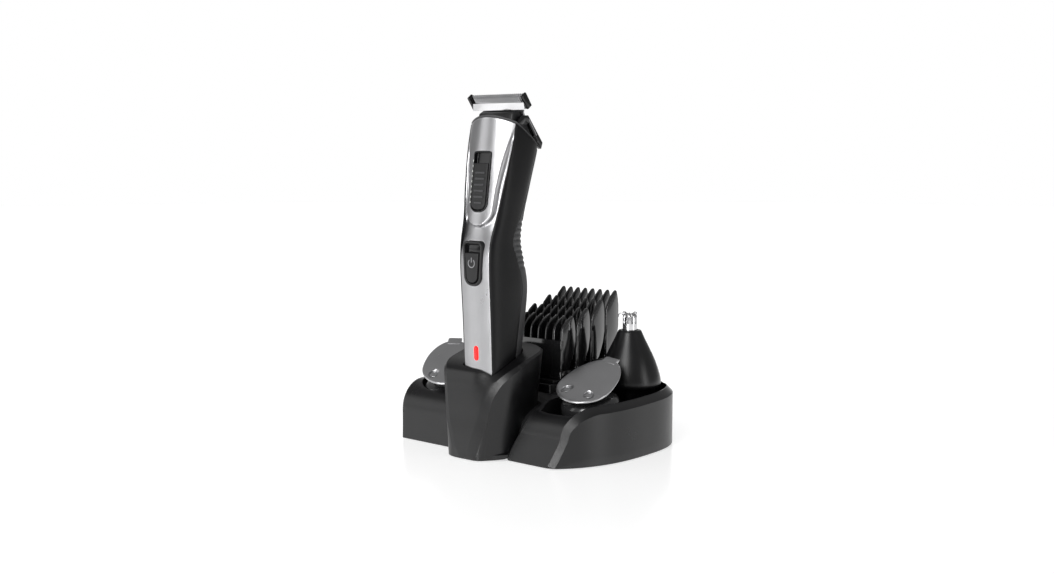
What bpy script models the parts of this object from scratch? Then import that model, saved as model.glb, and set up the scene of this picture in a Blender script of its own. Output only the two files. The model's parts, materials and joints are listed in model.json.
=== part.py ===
"""Beard trimmer on its charging stand, with the four combs and three spare heads that stand beside it.

Frame: +Z up, -Y is the front, +X is to the right of someone facing the front.
The origin is on the table under the middle of the stand. Every size below is in millimetres,
and solid() turns them into Blender's metres.
"""
import math

import bmesh
import bpy
from mathutils import Matrix, Vector

MM = 0.001
GAP = 0.3                      # clearance between pieces that touch on the real object

# Stand: one plan outline, a waterfall front on each side and a tower for the handset
STAND_HALF_WIDTH = 61.3
STAND_MID_Y = 8.0
STAND_FRONT = 66.0             # plan outline's reach ahead of STAND_MID_Y, cut off by the fronts
STAND_BACK = 49.4
SHELL_BOTTOM = 0.5
SHELL_WALL = 2.4
DECK_LEFT = 30.0               # height of the deck behind each front
DECK_RIGHT = 28.5
TOWER_X, TOWER_Y = -2.4, -36.0
TOWER_HALF_WIDTH, TOWER_FRONT, TOWER_BACK = 22.8, 21.4, 18.5
#               y      z  down the tower's middle, and the same places down its right edge
TOWER_FRONTS = [((-57.4, 0.5), (-57.4, 0.5)), ((-56.5, 12.0), (-56.5, 12.0)), ((-55.6, 20.0), (-55.5, 20.0)),
                ((-54.9, 28.0), (-54.5, 28.0)), ((-54.3, 34.0), (-53.0, 34.0)), ((-53.6, 40.0), (-50.5, 39.5)),
                ((-52.2, 44.2), (-46.0, 43.6)), ((-48.5, 46.0), (-41.0, 46.4)), ((-36.0, 49.2), (-36.0, 48.7)),
                ((-26.0, 52.0), (-26.0, 52.0)), ((-18.0, 54.0), (-18.0, 54.0)), ((10.0, 56.0), (10.0, 56.0))]
FOOT_RADIUS, FOOT_HEIGHT = 5.0, 0.9
PLATE_BOTTOM, PLATE_TOP = 1.2, 3.0
LINER = 1.6                    # wall of the socket's and the wells' liners
SOCKET_CLEARANCE, SOCKET_FLOOR = 0.7, 17.0
WELL_CLEARANCE, WELL_FLOOR = 1.3, 17.0
RIGHT_WELL_X, RIGHT_WELL_Y, RIGHT_WELL_RIM = 17.6, -36.5, 3.8
BOSSES = [(-21.0, -35.5), (-46.0, 36.0), (10.0, 50.0)]
BOSS_RADIUS, SCREW_HOLE = 3.2, 1.3
FEET = [(-48.0, -32.0), (42.0, -26.0), (-34.0, 44.0), (36.0, 40.0)]
RACK_HALF, RACK_FRONT, RACK_BACK, RACK_TOP = 16.0, -13.0, 45.0, 33.0
JACK_X, JACK_Z = -14.0, 12.0

# Handset: stations up its height, from the hidden foot in the socket to the neck
#            z     front  edge   half  side   widest  seam   back
STATIONS = [(22.0, -49.6, -48.5, 8.4, 10.8, -40.0, -35.5, -28.0),
            (46.0, -50.5, -49.3, 8.8, 11.6, -39.0, -35.0, -24.6),
            (70.0, -51.5, -50.2, 8.9, 12.2, -38.0, -32.0, -20.6),
            (84.0, -52.4, -51.0, 9.0, 12.6, -37.5, -30.6, -19.5),
            (96.0, -52.9, -51.5, 9.1, 12.6, -39.0, -34.0, -22.2),
            (106.0, -52.2, -50.8, 9.2, 12.7, -40.0, -38.0, -24.9),
            (117.0, -50.0, -47.8, 10.1, 13.4, -38.5, -33.5, -24.0),
            (133.0, -47.6, -44.4, 12.4, 14.7, -34.5, -26.8, -20.4),
            (151.0, -45.2, -40.5, 14.2, 15.3, -30.0, -22.0, -14.6),
            (168.0, -42.4, -36.4, 14.6, 15.2, -26.0, -17.5, -10.5)]
HANDSET_FOOT, HANDSET_TOP = 22.0, 168.0
PANEL_WALL, SHELL_DEPTH, GRIP_WALL = 1.5, 2.8, 1.2
GROOVES, GROOVE_FOOT, GROOVE_PITCH = 7, 95.5, 4.8
NECK_Y, NECK_Z, NECK_SLOPE = -37.5, 162.3, -0.64   # the neck plane: z falls this much per mm of y
DRIVE_TILT = math.radians(18)  # the motor's shaft and the heads' way off lean back by this

# T-blade pack: its plane leans forward, teeth up
BLADE_TILT = math.radians(37)
BLADE_FOOT = Vector((0, -18.0, 155.0))
BLADE_LENGTH, BLADE_HALF, NECK_HALF = 27.5, 17.9, 11.0
TOOTH_PITCH, TOOTH_LENGTH = 1.8, 2.6

# Spare heads and combs
NOSE_X, NOSE_Y, NOSE_BASE = 35.0, 28.3, 16.2
#              collar's foot         turned  collar's radius
RIGHT_HEAD = ((40.4, -11.0, 19.8), -15.0, 14.6)
LEFT_HEAD = ((-43.6, -22.6, 19.6), 32.0, 13.8)
HEAD_TILT, PLATE_TILT = math.radians(9), math.radians(20)
PLATE_REACH, PLATE_RISE = 4.6, 18.0    # from the collar's foot to the middle of the plate's round end
PLATE_HALF, PLATE_LENGTH, PLATE_TIP = 13.4, 23.0, 3.8
COMB_SIZES = (3, 6, 9, 12)     # cutting lengths in mm, one comb each
COMB_FIRST_Y, COMB_PITCH, COMB_HALF, COMB_TEETH = 2.3, 12.4, 18.0, 8
COMB_TIPS = (66.2, 69.2, 72.8, 76.4)
COMB_WALL_TOP = 54.5

SIDES = (("left", -1), ("right", 1))
X_AXIS, Y_AXIS, Z_AXIS = Vector((1, 0, 0)), Vector((0, 1, 0)), Vector((0, 0, 1))
DRIVE_AXIS = Vector((0, math.sin(DRIVE_TILT), math.cos(DRIVE_TILT)))
BLADE_UP = Vector((0, -math.sin(BLADE_TILT), math.cos(BLADE_TILT)))
BLADE_OUT = Vector((0, math.cos(BLADE_TILT), math.sin(BLADE_TILT)))

MATERIALS = {                  # colour, roughness, metallic
    "black_plastic": ((0.02, 0.02, 0.022), 0.45, 0.0),
    "gloss_black": ((0.008, 0.008, 0.009), 0.15, 0.0),
    "grey_rubber": ((0.09, 0.09, 0.092), 0.7, 0.0),
    "silver_paint": ((0.52, 0.52, 0.53), 0.32, 0.85),
    "steel": ((0.7, 0.7, 0.71), 0.25, 1.0),
    "brass": ((0.7, 0.52, 0.25), 0.3, 1.0),
    "red_lens": ((0.8, 0.02, 0.02), 0.2, 0.0),
    "white_plastic": ((0.75, 0.75, 0.73), 0.5, 0.0),
    "board_green": ((0.03, 0.2, 0.07), 0.5, 0.0),
    "battery_wrap": ((0.05, 0.2, 0.45), 0.4, 0.0),
}


# ---------------------------------------------------------------- outlines

def superellipse(half_x, front, back, centre, power, count, inset=0.0):
    """A closed outline whose four quadrants have their own roundness: power is (right front,
    left front, left back, right back)."""
    cx, cy = centre
    points = []
    for i in range(count):
        angle = 2 * math.pi * i / count
        c, s = math.cos(angle), math.sin(angle)
        reach = (back if s > 0 else front) - inset
        n = power[3] if s > 0 and c > 0 else power[2] if s > 0 else power[1] if c < 0 else power[0]
        x = math.copysign(abs(c) ** (2 / n), c) * (half_x - inset)
        y = math.copysign(abs(s) ** (2 / n), s) * reach
        points.append((cx + x, cy + y))
    return points


def rounded(corners, steps=5):
    """A closed outline from (x, y, radius) corners, anticlockwise, each corner an arc."""
    points = []
    count = len(corners)
    for i, (x, y, radius) in enumerate(corners):
        here = Vector((x, y))
        before = (Vector(corners[i - 1][:2]) - here).normalized()
        after = (Vector(corners[(i + 1) % count][:2]) - here).normalized()
        if radius <= 0:
            points.append((x, y))
            continue
        half = before.angle(after) / 2
        centre = here + (before + after).normalized() * (radius / math.sin(half))
        start = here + before * (radius / math.tan(half)) - centre
        end = here + after * (radius / math.tan(half)) - centre
        turn = start.angle_signed(end)
        for k in range(steps + 1):
            spoke = start.copy()
            spoke.rotate(Matrix.Rotation(-turn * k / steps, 2))
            points.append((centre.x + spoke.x, centre.y + spoke.y))
    return points


def circle(radius, count, x=0.0, y=0.0):
    return [(x + radius * math.cos(2 * math.pi * i / count),
             y + radius * math.sin(2 * math.pi * i / count)) for i in range(count)]


def offset(points, distance, closed=True):
    """The same outline moved to its left by distance: inward for an anticlockwise one."""
    moved = []
    count = len(points)
    for i, (x, y) in enumerate(points):
        before = points[i - 1] if closed or i else points[i]
        after = points[(i + 1) % count] if closed or i < count - 1 else points[i]
        along = Vector((after[0] - before[0], after[1] - before[1])).normalized()
        moved.append((x - along.y * distance, y + along.x * distance))
    return moved


# ---------------------------------------------------------------- solids

def material(name):
    found = bpy.data.materials.get(name)
    if found:
        return found
    colour, roughness, metallic = MATERIALS[name]
    made = bpy.data.materials.new(name)
    made.use_nodes = True
    shader = made.node_tree.nodes["Principled BSDF"]
    shader.inputs["Base Color"].default_value = (*colour, 1)
    shader.inputs["Roughness"].default_value = roughness
    shader.inputs["Metallic"].default_value = metallic
    return made


def mesh_of(rings, close=True):
    """A bmesh skinned over rings of points, capped at both ends unless the rings meet up."""
    mesh = bmesh.new()
    loops = [[mesh.verts.new(p) for p in ring] for ring in rings]
    pairs = list(zip(loops, loops[1:])) if close else list(zip(loops, loops[1:] + loops[:1]))
    for low, high in pairs:
        for i in range(len(low)):
            j = (i + 1) % len(low)
            mesh.faces.new((low[i], low[j], high[j], high[i]))
    if close:
        mesh.faces.new(list(reversed(loops[0])))
        mesh.faces.new(loops[-1])
    return mesh


def solid(name, mesh, colour, place=None):
    """A named object from a bmesh in millimetres, placed by a matrix in millimetres."""
    if place is not None:
        mesh.transform(place)
    mesh.transform(Matrix.Scale(MM, 4))
    bmesh.ops.recalc_face_normals(mesh, faces=mesh.faces[:])
    data = bpy.data.meshes.new(name)
    mesh.to_mesh(data)
    mesh.free()
    data.materials.append(material(colour))
    data.shade_smooth()
    data.set_sharp_from_angle(angle=math.radians(32))
    made = bpy.data.objects.new(name, data)
    bpy.context.scene.collection.objects.link(made)
    return made


def loft(name, rings, colour, place=None):
    return solid(name, mesh_of(rings), colour, place)


def prism(name, outline, low, high, colour, place=None):
    """An outline in XY drawn up from low to high."""
    rings = [[(x, y, z) for x, y in outline] for z in (low, high)]
    return loft(name, rings, colour, place)


def box(name, low, high, colour, place=None):
    outline = [(low[0], low[1]), (high[0], low[1]), (high[0], high[1]), (low[0], high[1])]
    return prism(name, outline, low[2], high[2], colour, place)


def turned(name, profile, colour, place=None, count=24):
    """A solid of revolution about Z with flat ends, from its outer (radius, z) points."""
    return loft(name, [[(x, y, z) for x, y in circle(radius, count)] for radius, z in profile], colour, place)


def turned_ring(name, profile, colour, place=None, count=24):
    """A solid of revolution about Z with a hole, from a closed profile of (radius, z) points."""
    rings = []
    for i in range(count):
        angle = 2 * math.pi * i / count
        rings.append([(r * math.cos(angle), r * math.sin(angle), z) for r, z in profile])
    return solid(name, mesh_of(rings, close=False), colour, place)


def rod(name, radius, low, high, colour, place=None, count=16):
    return prism(name, circle(radius, count), low, high, colour, place)


def combine(target, tool, operation, solver="EXACT"):
    """Applies a Boolean of tool to target, and removes tool."""
    modifier = target.modifiers.new(operation.lower(), "BOOLEAN")
    modifier.object = tool
    modifier.operation = operation
    modifier.solver = solver
    bpy.context.view_layer.update()
    graph = bpy.context.evaluated_depsgraph_get()
    result = bpy.data.meshes.new_from_object(target.evaluated_get(graph))
    target.modifiers.clear()
    target.data = result
    bpy.data.objects.remove(tool)
    return target


def cut(target, *tools):
    for tool in tools:
        combine(target, tool, "DIFFERENCE")
    return target


def join(target, *tools, solver="EXACT"):
    for tool in tools:
        combine(target, tool, "UNION", solver)
    return target


def basis(origin, along_x, along_y, along_z):
    """The matrix that carries X, Y and Z to three directions at origin."""
    columns = Matrix((along_x, along_y, along_z)).transposed().to_4x4()
    return Matrix.Translation(origin) @ columns


# ---------------------------------------------------------------- handset sections

def station(z):
    """The handset's section sizes at height z, by a smooth curve through STATIONS."""
    for i in range(len(STATIONS) - 1):
        if z <= STATIONS[i + 1][0] or i == len(STATIONS) - 2:
            break
    here, there = STATIONS[i], STATIONS[i + 1]
    before, after = STATIONS[max(i - 1, 0)], STATIONS[min(i + 2, len(STATIONS) - 1)]
    span = there[0] - here[0]
    t = (z - here[0]) / span
    values = []
    for k in range(1, len(here)):
        slope_here = (there[k] - before[k]) / (there[0] - before[0]) * span
        slope_there = (after[k] - here[k]) / (after[0] - here[0]) * span
        values.append((2 * t ** 3 - 3 * t ** 2 + 1) * here[k] + (t ** 3 - 2 * t ** 2 + t) * slope_here
                      + (3 * t ** 2 - 2 * t ** 3) * there[k] + (t ** 3 - t ** 2) * slope_there)
    return values


def front_curve(z, count):
    """The silver panel's front, from its left edge to its right."""
    front, edge, half = station(z)[:3]
    return [(half * u, front + (edge - front) * u * u)
            for u in (2 * i / (count - 1) - 1 for i in range(count))]


def side_curve(z, count):
    """The body's right side, from the panel's edge back to the seam."""
    front, edge, half, side, widest, seam, back = station(z)
    points = []
    for i in range(count):
        t = math.pi / 2 * i / (count - 1)
        points.append((half + (side - half) * math.sin(t), edge + (widest - edge) * (1 - math.cos(t))))
    for i in range(1, 3):
        y = widest + (seam - widest) * i / 2
        points.append((side * _fullness((y - widest) / (back - widest)), y))
    return points


def back_curve(z, count):
    """The grip, from the right seam round the back to the middle."""
    front, edge, half, side, widest, seam, back = station(z)
    start = math.asin(min(1.0, ((seam - widest) / (back - widest)) ** 1.3))
    points = []
    for i in range(count):
        t = start + (math.pi / 2 - start) * i / (count - 1)
        points.append((side * math.cos(t) ** (2 / 2.6), widest + (back - widest) * math.sin(t) ** (2 / 2.6)))
    return points


def _fullness(depth):
    return (1 - max(0.0, depth) ** 2.6) ** (1 / 2.6)


def mirrored(points):
    return [(-x, y) for x, y in reversed(points)]


def groove_heights():
    return [GROOVE_FOOT + GROOVE_PITCH * i for i in range(GROOVES)]


def handset_heights():
    """Heights of the sections that the shell, the grip and the panel share."""
    return [HANDSET_FOOT, 34.0, 46.0, 58.0, 70.0, 82.0, 90.0] + groove_heights() + [135.0, 146.0, HANDSET_TOP]


def shell_ring(z):
    """C-shaped section of the black body, open where the panel sits and stepped in at the grip."""
    side = side_curve(z, 4)
    back = back_curve(z, 5)
    half = side + back[1:]
    whole = half + mirrored(half)[1:]
    inner = offset(whole, SHELL_DEPTH, closed=False)
    stepped = offset(whole, GRIP_WALL + 0.4, closed=False)
    seam = len(side)
    outer = [p if i < seam or i >= len(whole) - seam else stepped[i] for i, p in enumerate(whole)]
    outer.insert(seam, stepped[seam - 1])
    outer.insert(len(outer) - seam, stepped[len(whole) - seam])
    edge, ledge = whole[0][0], whole[0][1] + PANEL_WALL + 0.4
    inner[0], inner[-1] = (edge - 2.4, ledge), (2.4 - edge, ledge)
    inner = [inner[0]] + inner[2:-2] + [inner[-1]]
    ring = outer + [(0.1 - edge, ledge)] + list(reversed(inner)) + [(edge - 0.1, ledge)]
    return [(x, y, z) for x, y in ring]


def panel_ring(z):
    curve = [(x * 0.965, y) for x, y in front_curve(z, 9)]
    back = [(x * 0.93, y + PANEL_WALL) for x, y in curve]
    return [(x, y, z) for x, y in curve + list(reversed(back))]


def grip_ring(z, groove=0.0):
    back = back_curve(z, 5)
    half = [(back[0][0], back[0][1] + 1.5 * GAP)] + back[1:]
    whole = half + mirrored(half)[1:]
    inner = offset(whole, GRIP_WALL, closed=False)
    outer = offset(whole, groove, closed=False)
    return [(x, y, z) for x, y in outer + list(reversed(inner))]


def outer_ring(z, grow=0.0):
    """The handset's whole section, grown outward by grow."""
    front = front_curve(z, 7)
    side = side_curve(z, 4)
    half = side[1:] + back_curve(z, 5)[1:]
    whole = front + half + mirrored(half)[1:]
    return [(x, y, z) for x, y in offset(whole, -grow)]


def above_neck(name, lift=0.0):
    """A block that fills everything above the slanted neck plane."""
    half, reach, tall = 40.0, 60.0, 60.0
    low, high = NECK_Y - reach, NECK_Y + reach
    ends = [NECK_Z + NECK_SLOPE * (y - NECK_Y) + lift for y in (low, high)]
    rings = [[(x, low, ends[0]), (x, high, ends[1]), (x, high, ends[0] + tall), (x, low, ends[0] + tall)]
             for x in (-half, half)]
    return loft(name, rings, "black_plastic")


def face_frame(z, half_span=6.0):
    """Matrix of the panel's front at height z: X across, Y up the face, Z out of it."""
    low, high = station(z - half_span)[0], station(z + half_span)[0]
    up = Vector((0, high - low, 2 * half_span)).normalized()
    return basis(Vector((0, station(z)[0], z)), X_AXIS, up, X_AXIS.cross(up))


SLIDER_Z, SLIDER_HALF, SLIDER_LENGTH = 134.5, 4.6, 27.0
SWITCH_Z, SWITCH_HALF, SWITCH_LENGTH = 95.8, 6.3, 21.6
LENS_Z, LENS_HALF, LENS_LENGTH = 52.0, 1.3, 7.0


def slot_outline(half, length, top_radius, bottom_radius, shrink=0.0, taper=0.0):
    """A control's outline: squarer at its top, round at its bottom."""
    top, bottom = length / 2 - shrink, -length / 2 + shrink
    wide, narrow = half - shrink, half - shrink - taper
    return rounded([(narrow, bottom, max(bottom_radius - shrink, 0.5)),
                    (wide, top, max(top_radius - shrink, 0.4)),
                    (-wide, top, max(top_radius - shrink, 0.4)),
                    (-narrow, bottom, max(bottom_radius - shrink, 0.5))], steps=4)


def slider_slot(shrink=0.0):
    return slot_outline(SLIDER_HALF, SLIDER_LENGTH, 1.6, 4.4, shrink)


def switch_slot(shrink=0.0):
    return slot_outline(SWITCH_HALF, SWITCH_LENGTH, 2.6, 4.8, shrink, taper=1.2)


def lens_slot(shrink=0.0):
    return slot_outline(LENS_HALF, LENS_LENGTH, 1.25, 1.25, shrink)


def front_panel():
    heights = handset_heights()
    panel = loft("front_panel", [panel_ring(z) for z in heights], "silver_paint")
    cut(panel, above_neck("neck_cut"),
        prism("slot", slider_slot(-GAP), -8, 8, "steel", face_frame(SLIDER_Z)),
        prism("slot", switch_slot(-GAP), -8, 8, "steel", face_frame(SWITCH_Z)),
        prism("slot", lens_slot(-GAP), -8, 8, "steel", face_frame(LENS_Z)))
    return panel


def body_shell():
    heights = handset_heights()
    shell = loft("body_shell", [shell_ring(z) for z in heights], "black_plastic")
    return cut(shell, above_neck("neck_cut"))


def back_grip():
    """The soft back, with a ladder of grooves where the fingers lie."""
    rings = []
    for z in handset_heights():
        if z in groove_heights():
            rings += [grip_ring(z - 0.9), grip_ring(z - 0.5, 0.5), grip_ring(z + 0.5, 0.5), grip_ring(z + 0.9)]
        else:
            rings.append(grip_ring(z))
    grip = loft("back_grip", rings, "grey_rubber")
    return cut(grip, above_neck("neck_cut", -1.0))


def end_cap():
    """The foot of the handset, with two windows for the charging pins."""
    rings = [[(x, y, z) for x, y in offset([p[:2] for p in outer_ring(HANDSET_FOOT)], inset)]
             for z, inset in ((HANDSET_FOOT - 2.6, 1.2), (HANDSET_FOOT - 1.6, 0.2), (HANDSET_FOOT - GAP, 0.2))]
    cap = loft("end_cap", rings, "black_plastic")
    for side in (-1, 1):
        cut(cap, box("window", (side * 4 - 1.6, -41.6, 10), (side * 4 + 1.6, -38.4, 30), "black_plastic"))
    return cap


def charge_contacts():
    """The two pads in the cap's windows, on the strip that carries them inside."""
    strip = box("charge_contacts", (-6.0, -41.3, HANDSET_FOOT + 0.6), (6.0, -38.7, HANDSET_FOOT + 2.2), "brass")
    for side in (-1, 1):
        join(strip, box("pad", (side * 4 - 1.3, -41.2, HANDSET_FOOT - 2.2),
                        (side * 4 + 1.3, -38.8, HANDSET_FOOT + 1.4), "brass"))
    return strip


def controls():
    """Track, slider, bezel, switch and lens on the front panel."""
    place = face_frame(SLIDER_Z)
    track = prism("slider_track", slider_slot(0.0), -3.6, -0.2, "gloss_black", place)
    cut(track, prism("pocket", slider_slot(0.7), -2.0, 3, "gloss_black", place))
    outline = slot_outline(SLIDER_HALF, SLIDER_LENGTH - 5.2, 1.2, 4.2, 1.0)
    shift = Matrix.Translation((0, -2.6 + 0.3, 0))
    slider = prism("length_slider", outline, -1.7, 0.9, "black_plastic", place @ shift)
    for i in range(5):
        y = -8.0 + 3.2 * i
        cut(slider, box("groove", (-6, y - 0.35, 0.45), (6, y + 0.35, 3), "black_plastic", place @ shift))
    place = face_frame(SWITCH_Z)
    bezel = prism("switch_bezel", switch_slot(0.0), -3.4, 0.5, "black_plastic", place)
    cut(bezel, prism("pocket", switch_slot(1.3), -1.8, 3, "black_plastic", place))
    outline = slot_outline(SWITCH_HALF - 1.9, SWITCH_LENGTH - 7.2, 0.6, 3.2, 0.0, taper=1.2)
    shift = Matrix.Translation((0, -2.0, 0))
    switch = prism("power_switch", outline, -1.5, 1.0, "black_plastic", place @ shift)
    place = face_frame(LENS_Z)
    lens = prism("charge_lens", lens_slot(0.0), -2.0, 0.5, "red_lens", place)
    return track, slider, bezel, switch, lens


# ---------------------------------------------------------------- inside the handset

MOTOR_FOOT = Vector((0, -37.0, 121.0))
STROKE = 1.2                   # the eccentric pin's throw, and the cutter's travel each way
BATTERY_RADIUS = 7.0


def drive_frame(along=0.0):
    forward = DRIVE_AXIS.cross(X_AXIS).normalized()
    return basis(MOTOR_FOOT + DRIVE_AXIS * along, X_AXIS, forward, DRIVE_AXIS)


def motor():
    """Can with two flats, its shaft with the eccentric pin, and the cradle that holds it."""
    can = [(math.copysign(min(abs(x), 9.2), x), max(-7.2, min(7.2, y))) for x, y in circle(9.9, 20)]
    can = prism("motor_can", can, 0.0, 24.0, "steel", drive_frame())
    cut(can, rod("bore", 1.35, 20.0, 26.0, "steel", drive_frame(), 12))
    shaft = rod("motor_shaft", 1.0, 20.6, 32.0, "steel", drive_frame(), 12)
    wheel = rod("eccentric_wheel", 2.9, 27.0, 33.2, "white_plastic", drive_frame(), 20)
    cut(wheel, rod("bore", 1.3, 26.0, 32.4, "steel", drive_frame(), 12))
    pin = rod("pin", 0.8, 33.0, 35.5, "steel", drive_frame() @ Matrix.Translation((STROKE, 0, 0)), 12)
    join(wheel, pin)
    cradle = [(-9.2, -8.0), (9.2, -8.0), (9.2, 3.0), (7.0, 6.4), (-7.0, 6.4), (-9.2, 3.0)]
    cradle = prism("motor_cradle", cradle, 24.4, 26.2, "black_plastic", drive_frame())
    cut(cradle, rod("bore", 2.0, 20.0, 30.0, "steel", drive_frame(), 16))
    return can, shaft, wheel, cradle


def electronics():
    board = box("circuit_board", (-6.2, -46.6, 44.0), (6.2, -45.4, 108.0), "board_green")
    place = Matrix.Translation((0, -35.0, 62.0))
    cell = turned("battery_cell", [(6.2, 0), (BATTERY_RADIUS, 0.8), (BATTERY_RADIUS, 48.4), (6.2, 49.2),
                                   (2.6, 49.2), (2.6, 50.4)], "battery_wrap", place, 20)
    holder = box("battery_holder", (-3.0, -44.6, 61.0), (3.0, -43.0, 113.8), "steel")
    join(holder, box("foot", (-3.0, -43.6, 61.0), (3.0, -30.0, 61.7), "steel"),
         box("head", (-3.0, -43.6, 112.8), (3.0, -32.0, 113.8), "steel"))
    led = rod("charge_led", 1.4, 0.0, 1.4, "white_plastic",
              basis(Vector((0, -46.9, 52.0)), X_AXIS, Z_AXIS, -Y_AXIS), 12)
    return board, cell, holder, led


# ---------------------------------------------------------------- T-blade head

def blade_frame(along=0.0, out=0.0):
    """X across, Y up the blade to its teeth, Z out of its skin side."""
    return basis(BLADE_FOOT + BLADE_UP * along + BLADE_OUT * out, X_AXIS, BLADE_UP, BLADE_OUT)


def toothed(half, base, tip, pitch, gap):
    """Points along a row of teeth, from the right end to the left."""
    count = int(2 * half / pitch)
    points = []
    for i in range(count):
        right = half - 2 * half * i / count
        left = half - 2 * half * (i + 1) / count
        points += [(right - gap / 2, base), (right - gap / 2 - 0.15, tip),
                   (left + gap / 2 + 0.15, tip), (left + gap / 2, base)]
    return points


def t_blades():
    teeth = toothed(16.2, BLADE_LENGTH - TOOTH_LENGTH, BLADE_LENGTH, TOOTH_PITCH, 0.55)
    shoulder = [(16.2, 21.0), (15.6, 19.8), (12.6, 18.6), (NECK_HALF, 16.0), (NECK_HALF, 1.0)]
    outline = [(NECK_HALF - 1, 0.0), (NECK_HALF, 1.0)] + list(reversed(shoulder))[1:] + teeth
    outline += [(-x, y) for x, y in shoulder] + [(-NECK_HALF + 1, 0.0)]
    fixed = prism("fixed_blade", outline, -0.9, 0.0, "steel", blade_frame())
    for side, sign in SIDES:
        ends = sorted((sign * 16.5, sign * BLADE_HALF))
        box(f"blade_guard_{side}", (ends[0], 20.4, -2.9), (ends[1], BLADE_LENGTH + 0.3, 0.3), "gloss_black",
            blade_frame())
    teeth = toothed(14.6, BLADE_LENGTH - TOOTH_LENGTH - 0.4, BLADE_LENGTH - 0.7, TOOTH_PITCH, 0.6)
    outline = [(-9.0, 16.5), (9.0, 16.5), (9.0, 20.2), (14.6, 20.2)] + teeth + [(-14.6, 20.2), (-9.0, 20.2)]
    moving = prism("moving_blade", outline, -1.9, -1.1, "steel", blade_frame())
    carrier = box("blade_carrier", (-7.6, 12.5, -4.6), (7.6, 19.6, -2.3), "white_plastic", blade_frame())
    for side in (-1, 1):
        fork = box("fork", (side * 2.6 - 1.3, 7.4, -6.6), (side * 2.6 + 1.3, 13.5, -3.2), "white_plastic",
                   blade_frame())
        join(carrier, fork)
    spring = box("blade_spring", (-6.8, 7.2, -2.0), (6.8, 8.4, -1.4), "steel", blade_frame())
    for side, sign in SIDES:
        join(spring, box("leaf", (sign * 6.0 - 0.8, 8.0, -2.0), (sign * 6.0 + 0.8, 15.8, -1.4), "steel",
                         blade_frame()))
        place = blade_frame() @ Matrix.Translation((sign * 6.0, 5.0, 0))
        cut(fixed, rod("bore", 1.9, -3.0, 3.0, "steel", place, 12))
        turned(f"blade_screw_{side}", [(0.9, -0.9), (1.5, 0.1), (1.5, 0.7)], "steel", place, 12)
    return fixed, moving, carrier, spring


def head_body():
    """The black block in front of the blades, hollow for the drive."""
    lift = 1.9
    low_front = (-37.0, NECK_Z + lift)
    low_back = (-19.6, NECK_Z + NECK_SLOPE * (-19.6 - NECK_Y) + lift)
    top_back = BLADE_FOOT + BLADE_UP * 20.5 - BLADE_OUT * 2.4
    back_low = BLADE_FOOT + BLADE_UP * -1.0 - BLADE_OUT * 1.2
    side = [low_front, low_back, (back_low.y, back_low.z), (top_back.y, top_back.z), (-35.4, 169.6)]
    body = loft("head_body", [[(x, y, z) for y, z in side] for x in (-11.0, 11.0)], "black_plastic")
    cut(body, box("hollow", (-9.3, 2.0, -9.5), (9.3, 22.5, 2.0), "black_plastic", blade_frame()))
    cut(body, rod("hole", 6.0, 20.0, 44.0, "black_plastic", drive_frame(), 20))
    return body


def neck_slab(name, scale, low, high, colour):
    """A scaled slice of the handset's section parallel to the neck plane, with the drive's hole."""
    rings = []
    for z in (140.0, 147.0, 154.0, 161.0, HANDSET_TOP):
        ring = outer_ring(z)
        middle = (station(z)[0] + station(z)[-1]) / 2
        rings.append([(x * scale, middle + (y - middle) * scale, z) for x, y, z in ring])
    slab = loft(name, rings, colour)
    cut(slab, above_neck("top", high))
    combine(slab, above_neck("bottom", low), "INTERSECT")
    return cut(slab, rod("hole", 6.2, 10.0, 60.0, colour, drive_frame(), 20))


def neck_plate():
    return neck_slab("neck_plate", 0.76, -2.4, -0.8, "black_plastic")


def head_frame():
    """The head's foot on the neck, with a slotted bracket standing at each side."""
    frame = neck_slab("head_frame", 0.98, 0.3, 1.6, "grey_rubber")
    front, rear, lift = -36.2, -17.6, 0.9
    top = BLADE_FOOT + BLADE_UP * 15.0 - BLADE_OUT * 0.4
    top_front = BLADE_FOOT + BLADE_UP * 17.5 - BLADE_OUT * 4.0
    outline = [(front, NECK_Z + NECK_SLOPE * (front - NECK_Y) + lift),
               (rear, NECK_Z + NECK_SLOPE * (rear - NECK_Y) + lift),
               (BLADE_FOOT.y + 1.6, BLADE_FOOT.z - 1.4), (top.y, top.z), (top_front.y, top_front.z)]
    for ends in ((-13.4, -11.3), (11.3, 13.4)):
        bracket = loft("bracket", [[(x, y, z) for y, z in outline] for x in ends], "gloss_black")
        cut(bracket, box("window", (-20, 4.5, -4.2), (20, 12.0, -2.2), "gloss_black", blade_frame()))
        join(frame, bracket)
    return frame


# ---------------------------------------------------------------- spare heads

def nose_head():
    """Trimmer for nose and ears: a hollow cone on a plug, a slotted steel tip and its spinning cutter."""
    place = Matrix.Translation((NOSE_X, NOSE_Y, 0))
    outside = [(13.2, WELL_FLOOR + GAP), (13.2, 29.0), (15.7, 29.2), (NOSE_BASE, 30.4), (NOSE_BASE, 32.4),
               (15.7, 35.0), (13.2, 42.0), (11.3, 46.0), (8.3, 52.0), (6.2, 57.4), (5.6, 58.0)]
    inside = [(4.1, 58.0), (4.1, 55.0), (11.6, 36.0), (11.6, 29.0), (9.0, 26.0), (9.0, WELL_FLOOR + GAP)]
    cone = turned_ring("nose_cone", outside + inside, "black_plastic", place, 28)
    tip = [(3.0, 55.6), (3.7, 55.6), (3.7, 65.2), (3.1, 66.4), (1.2, 66.8), (1.2, 66.0), (3.0, 65.0)]
    tip = turned_ring("nose_tip", tip, "steel", place, 16)
    for i in range(4):
        turn = Matrix.Rotation(math.pi * i / 4, 4, "Z")
        cut(tip, box("slot", (-6, -0.4, 61.6), (6, 0.4, 71), "steel", place @ turn))
    return cone, tip, rod("nose_cutter", 2.4, 38.0, 64.6, "steel", place, 12)


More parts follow.
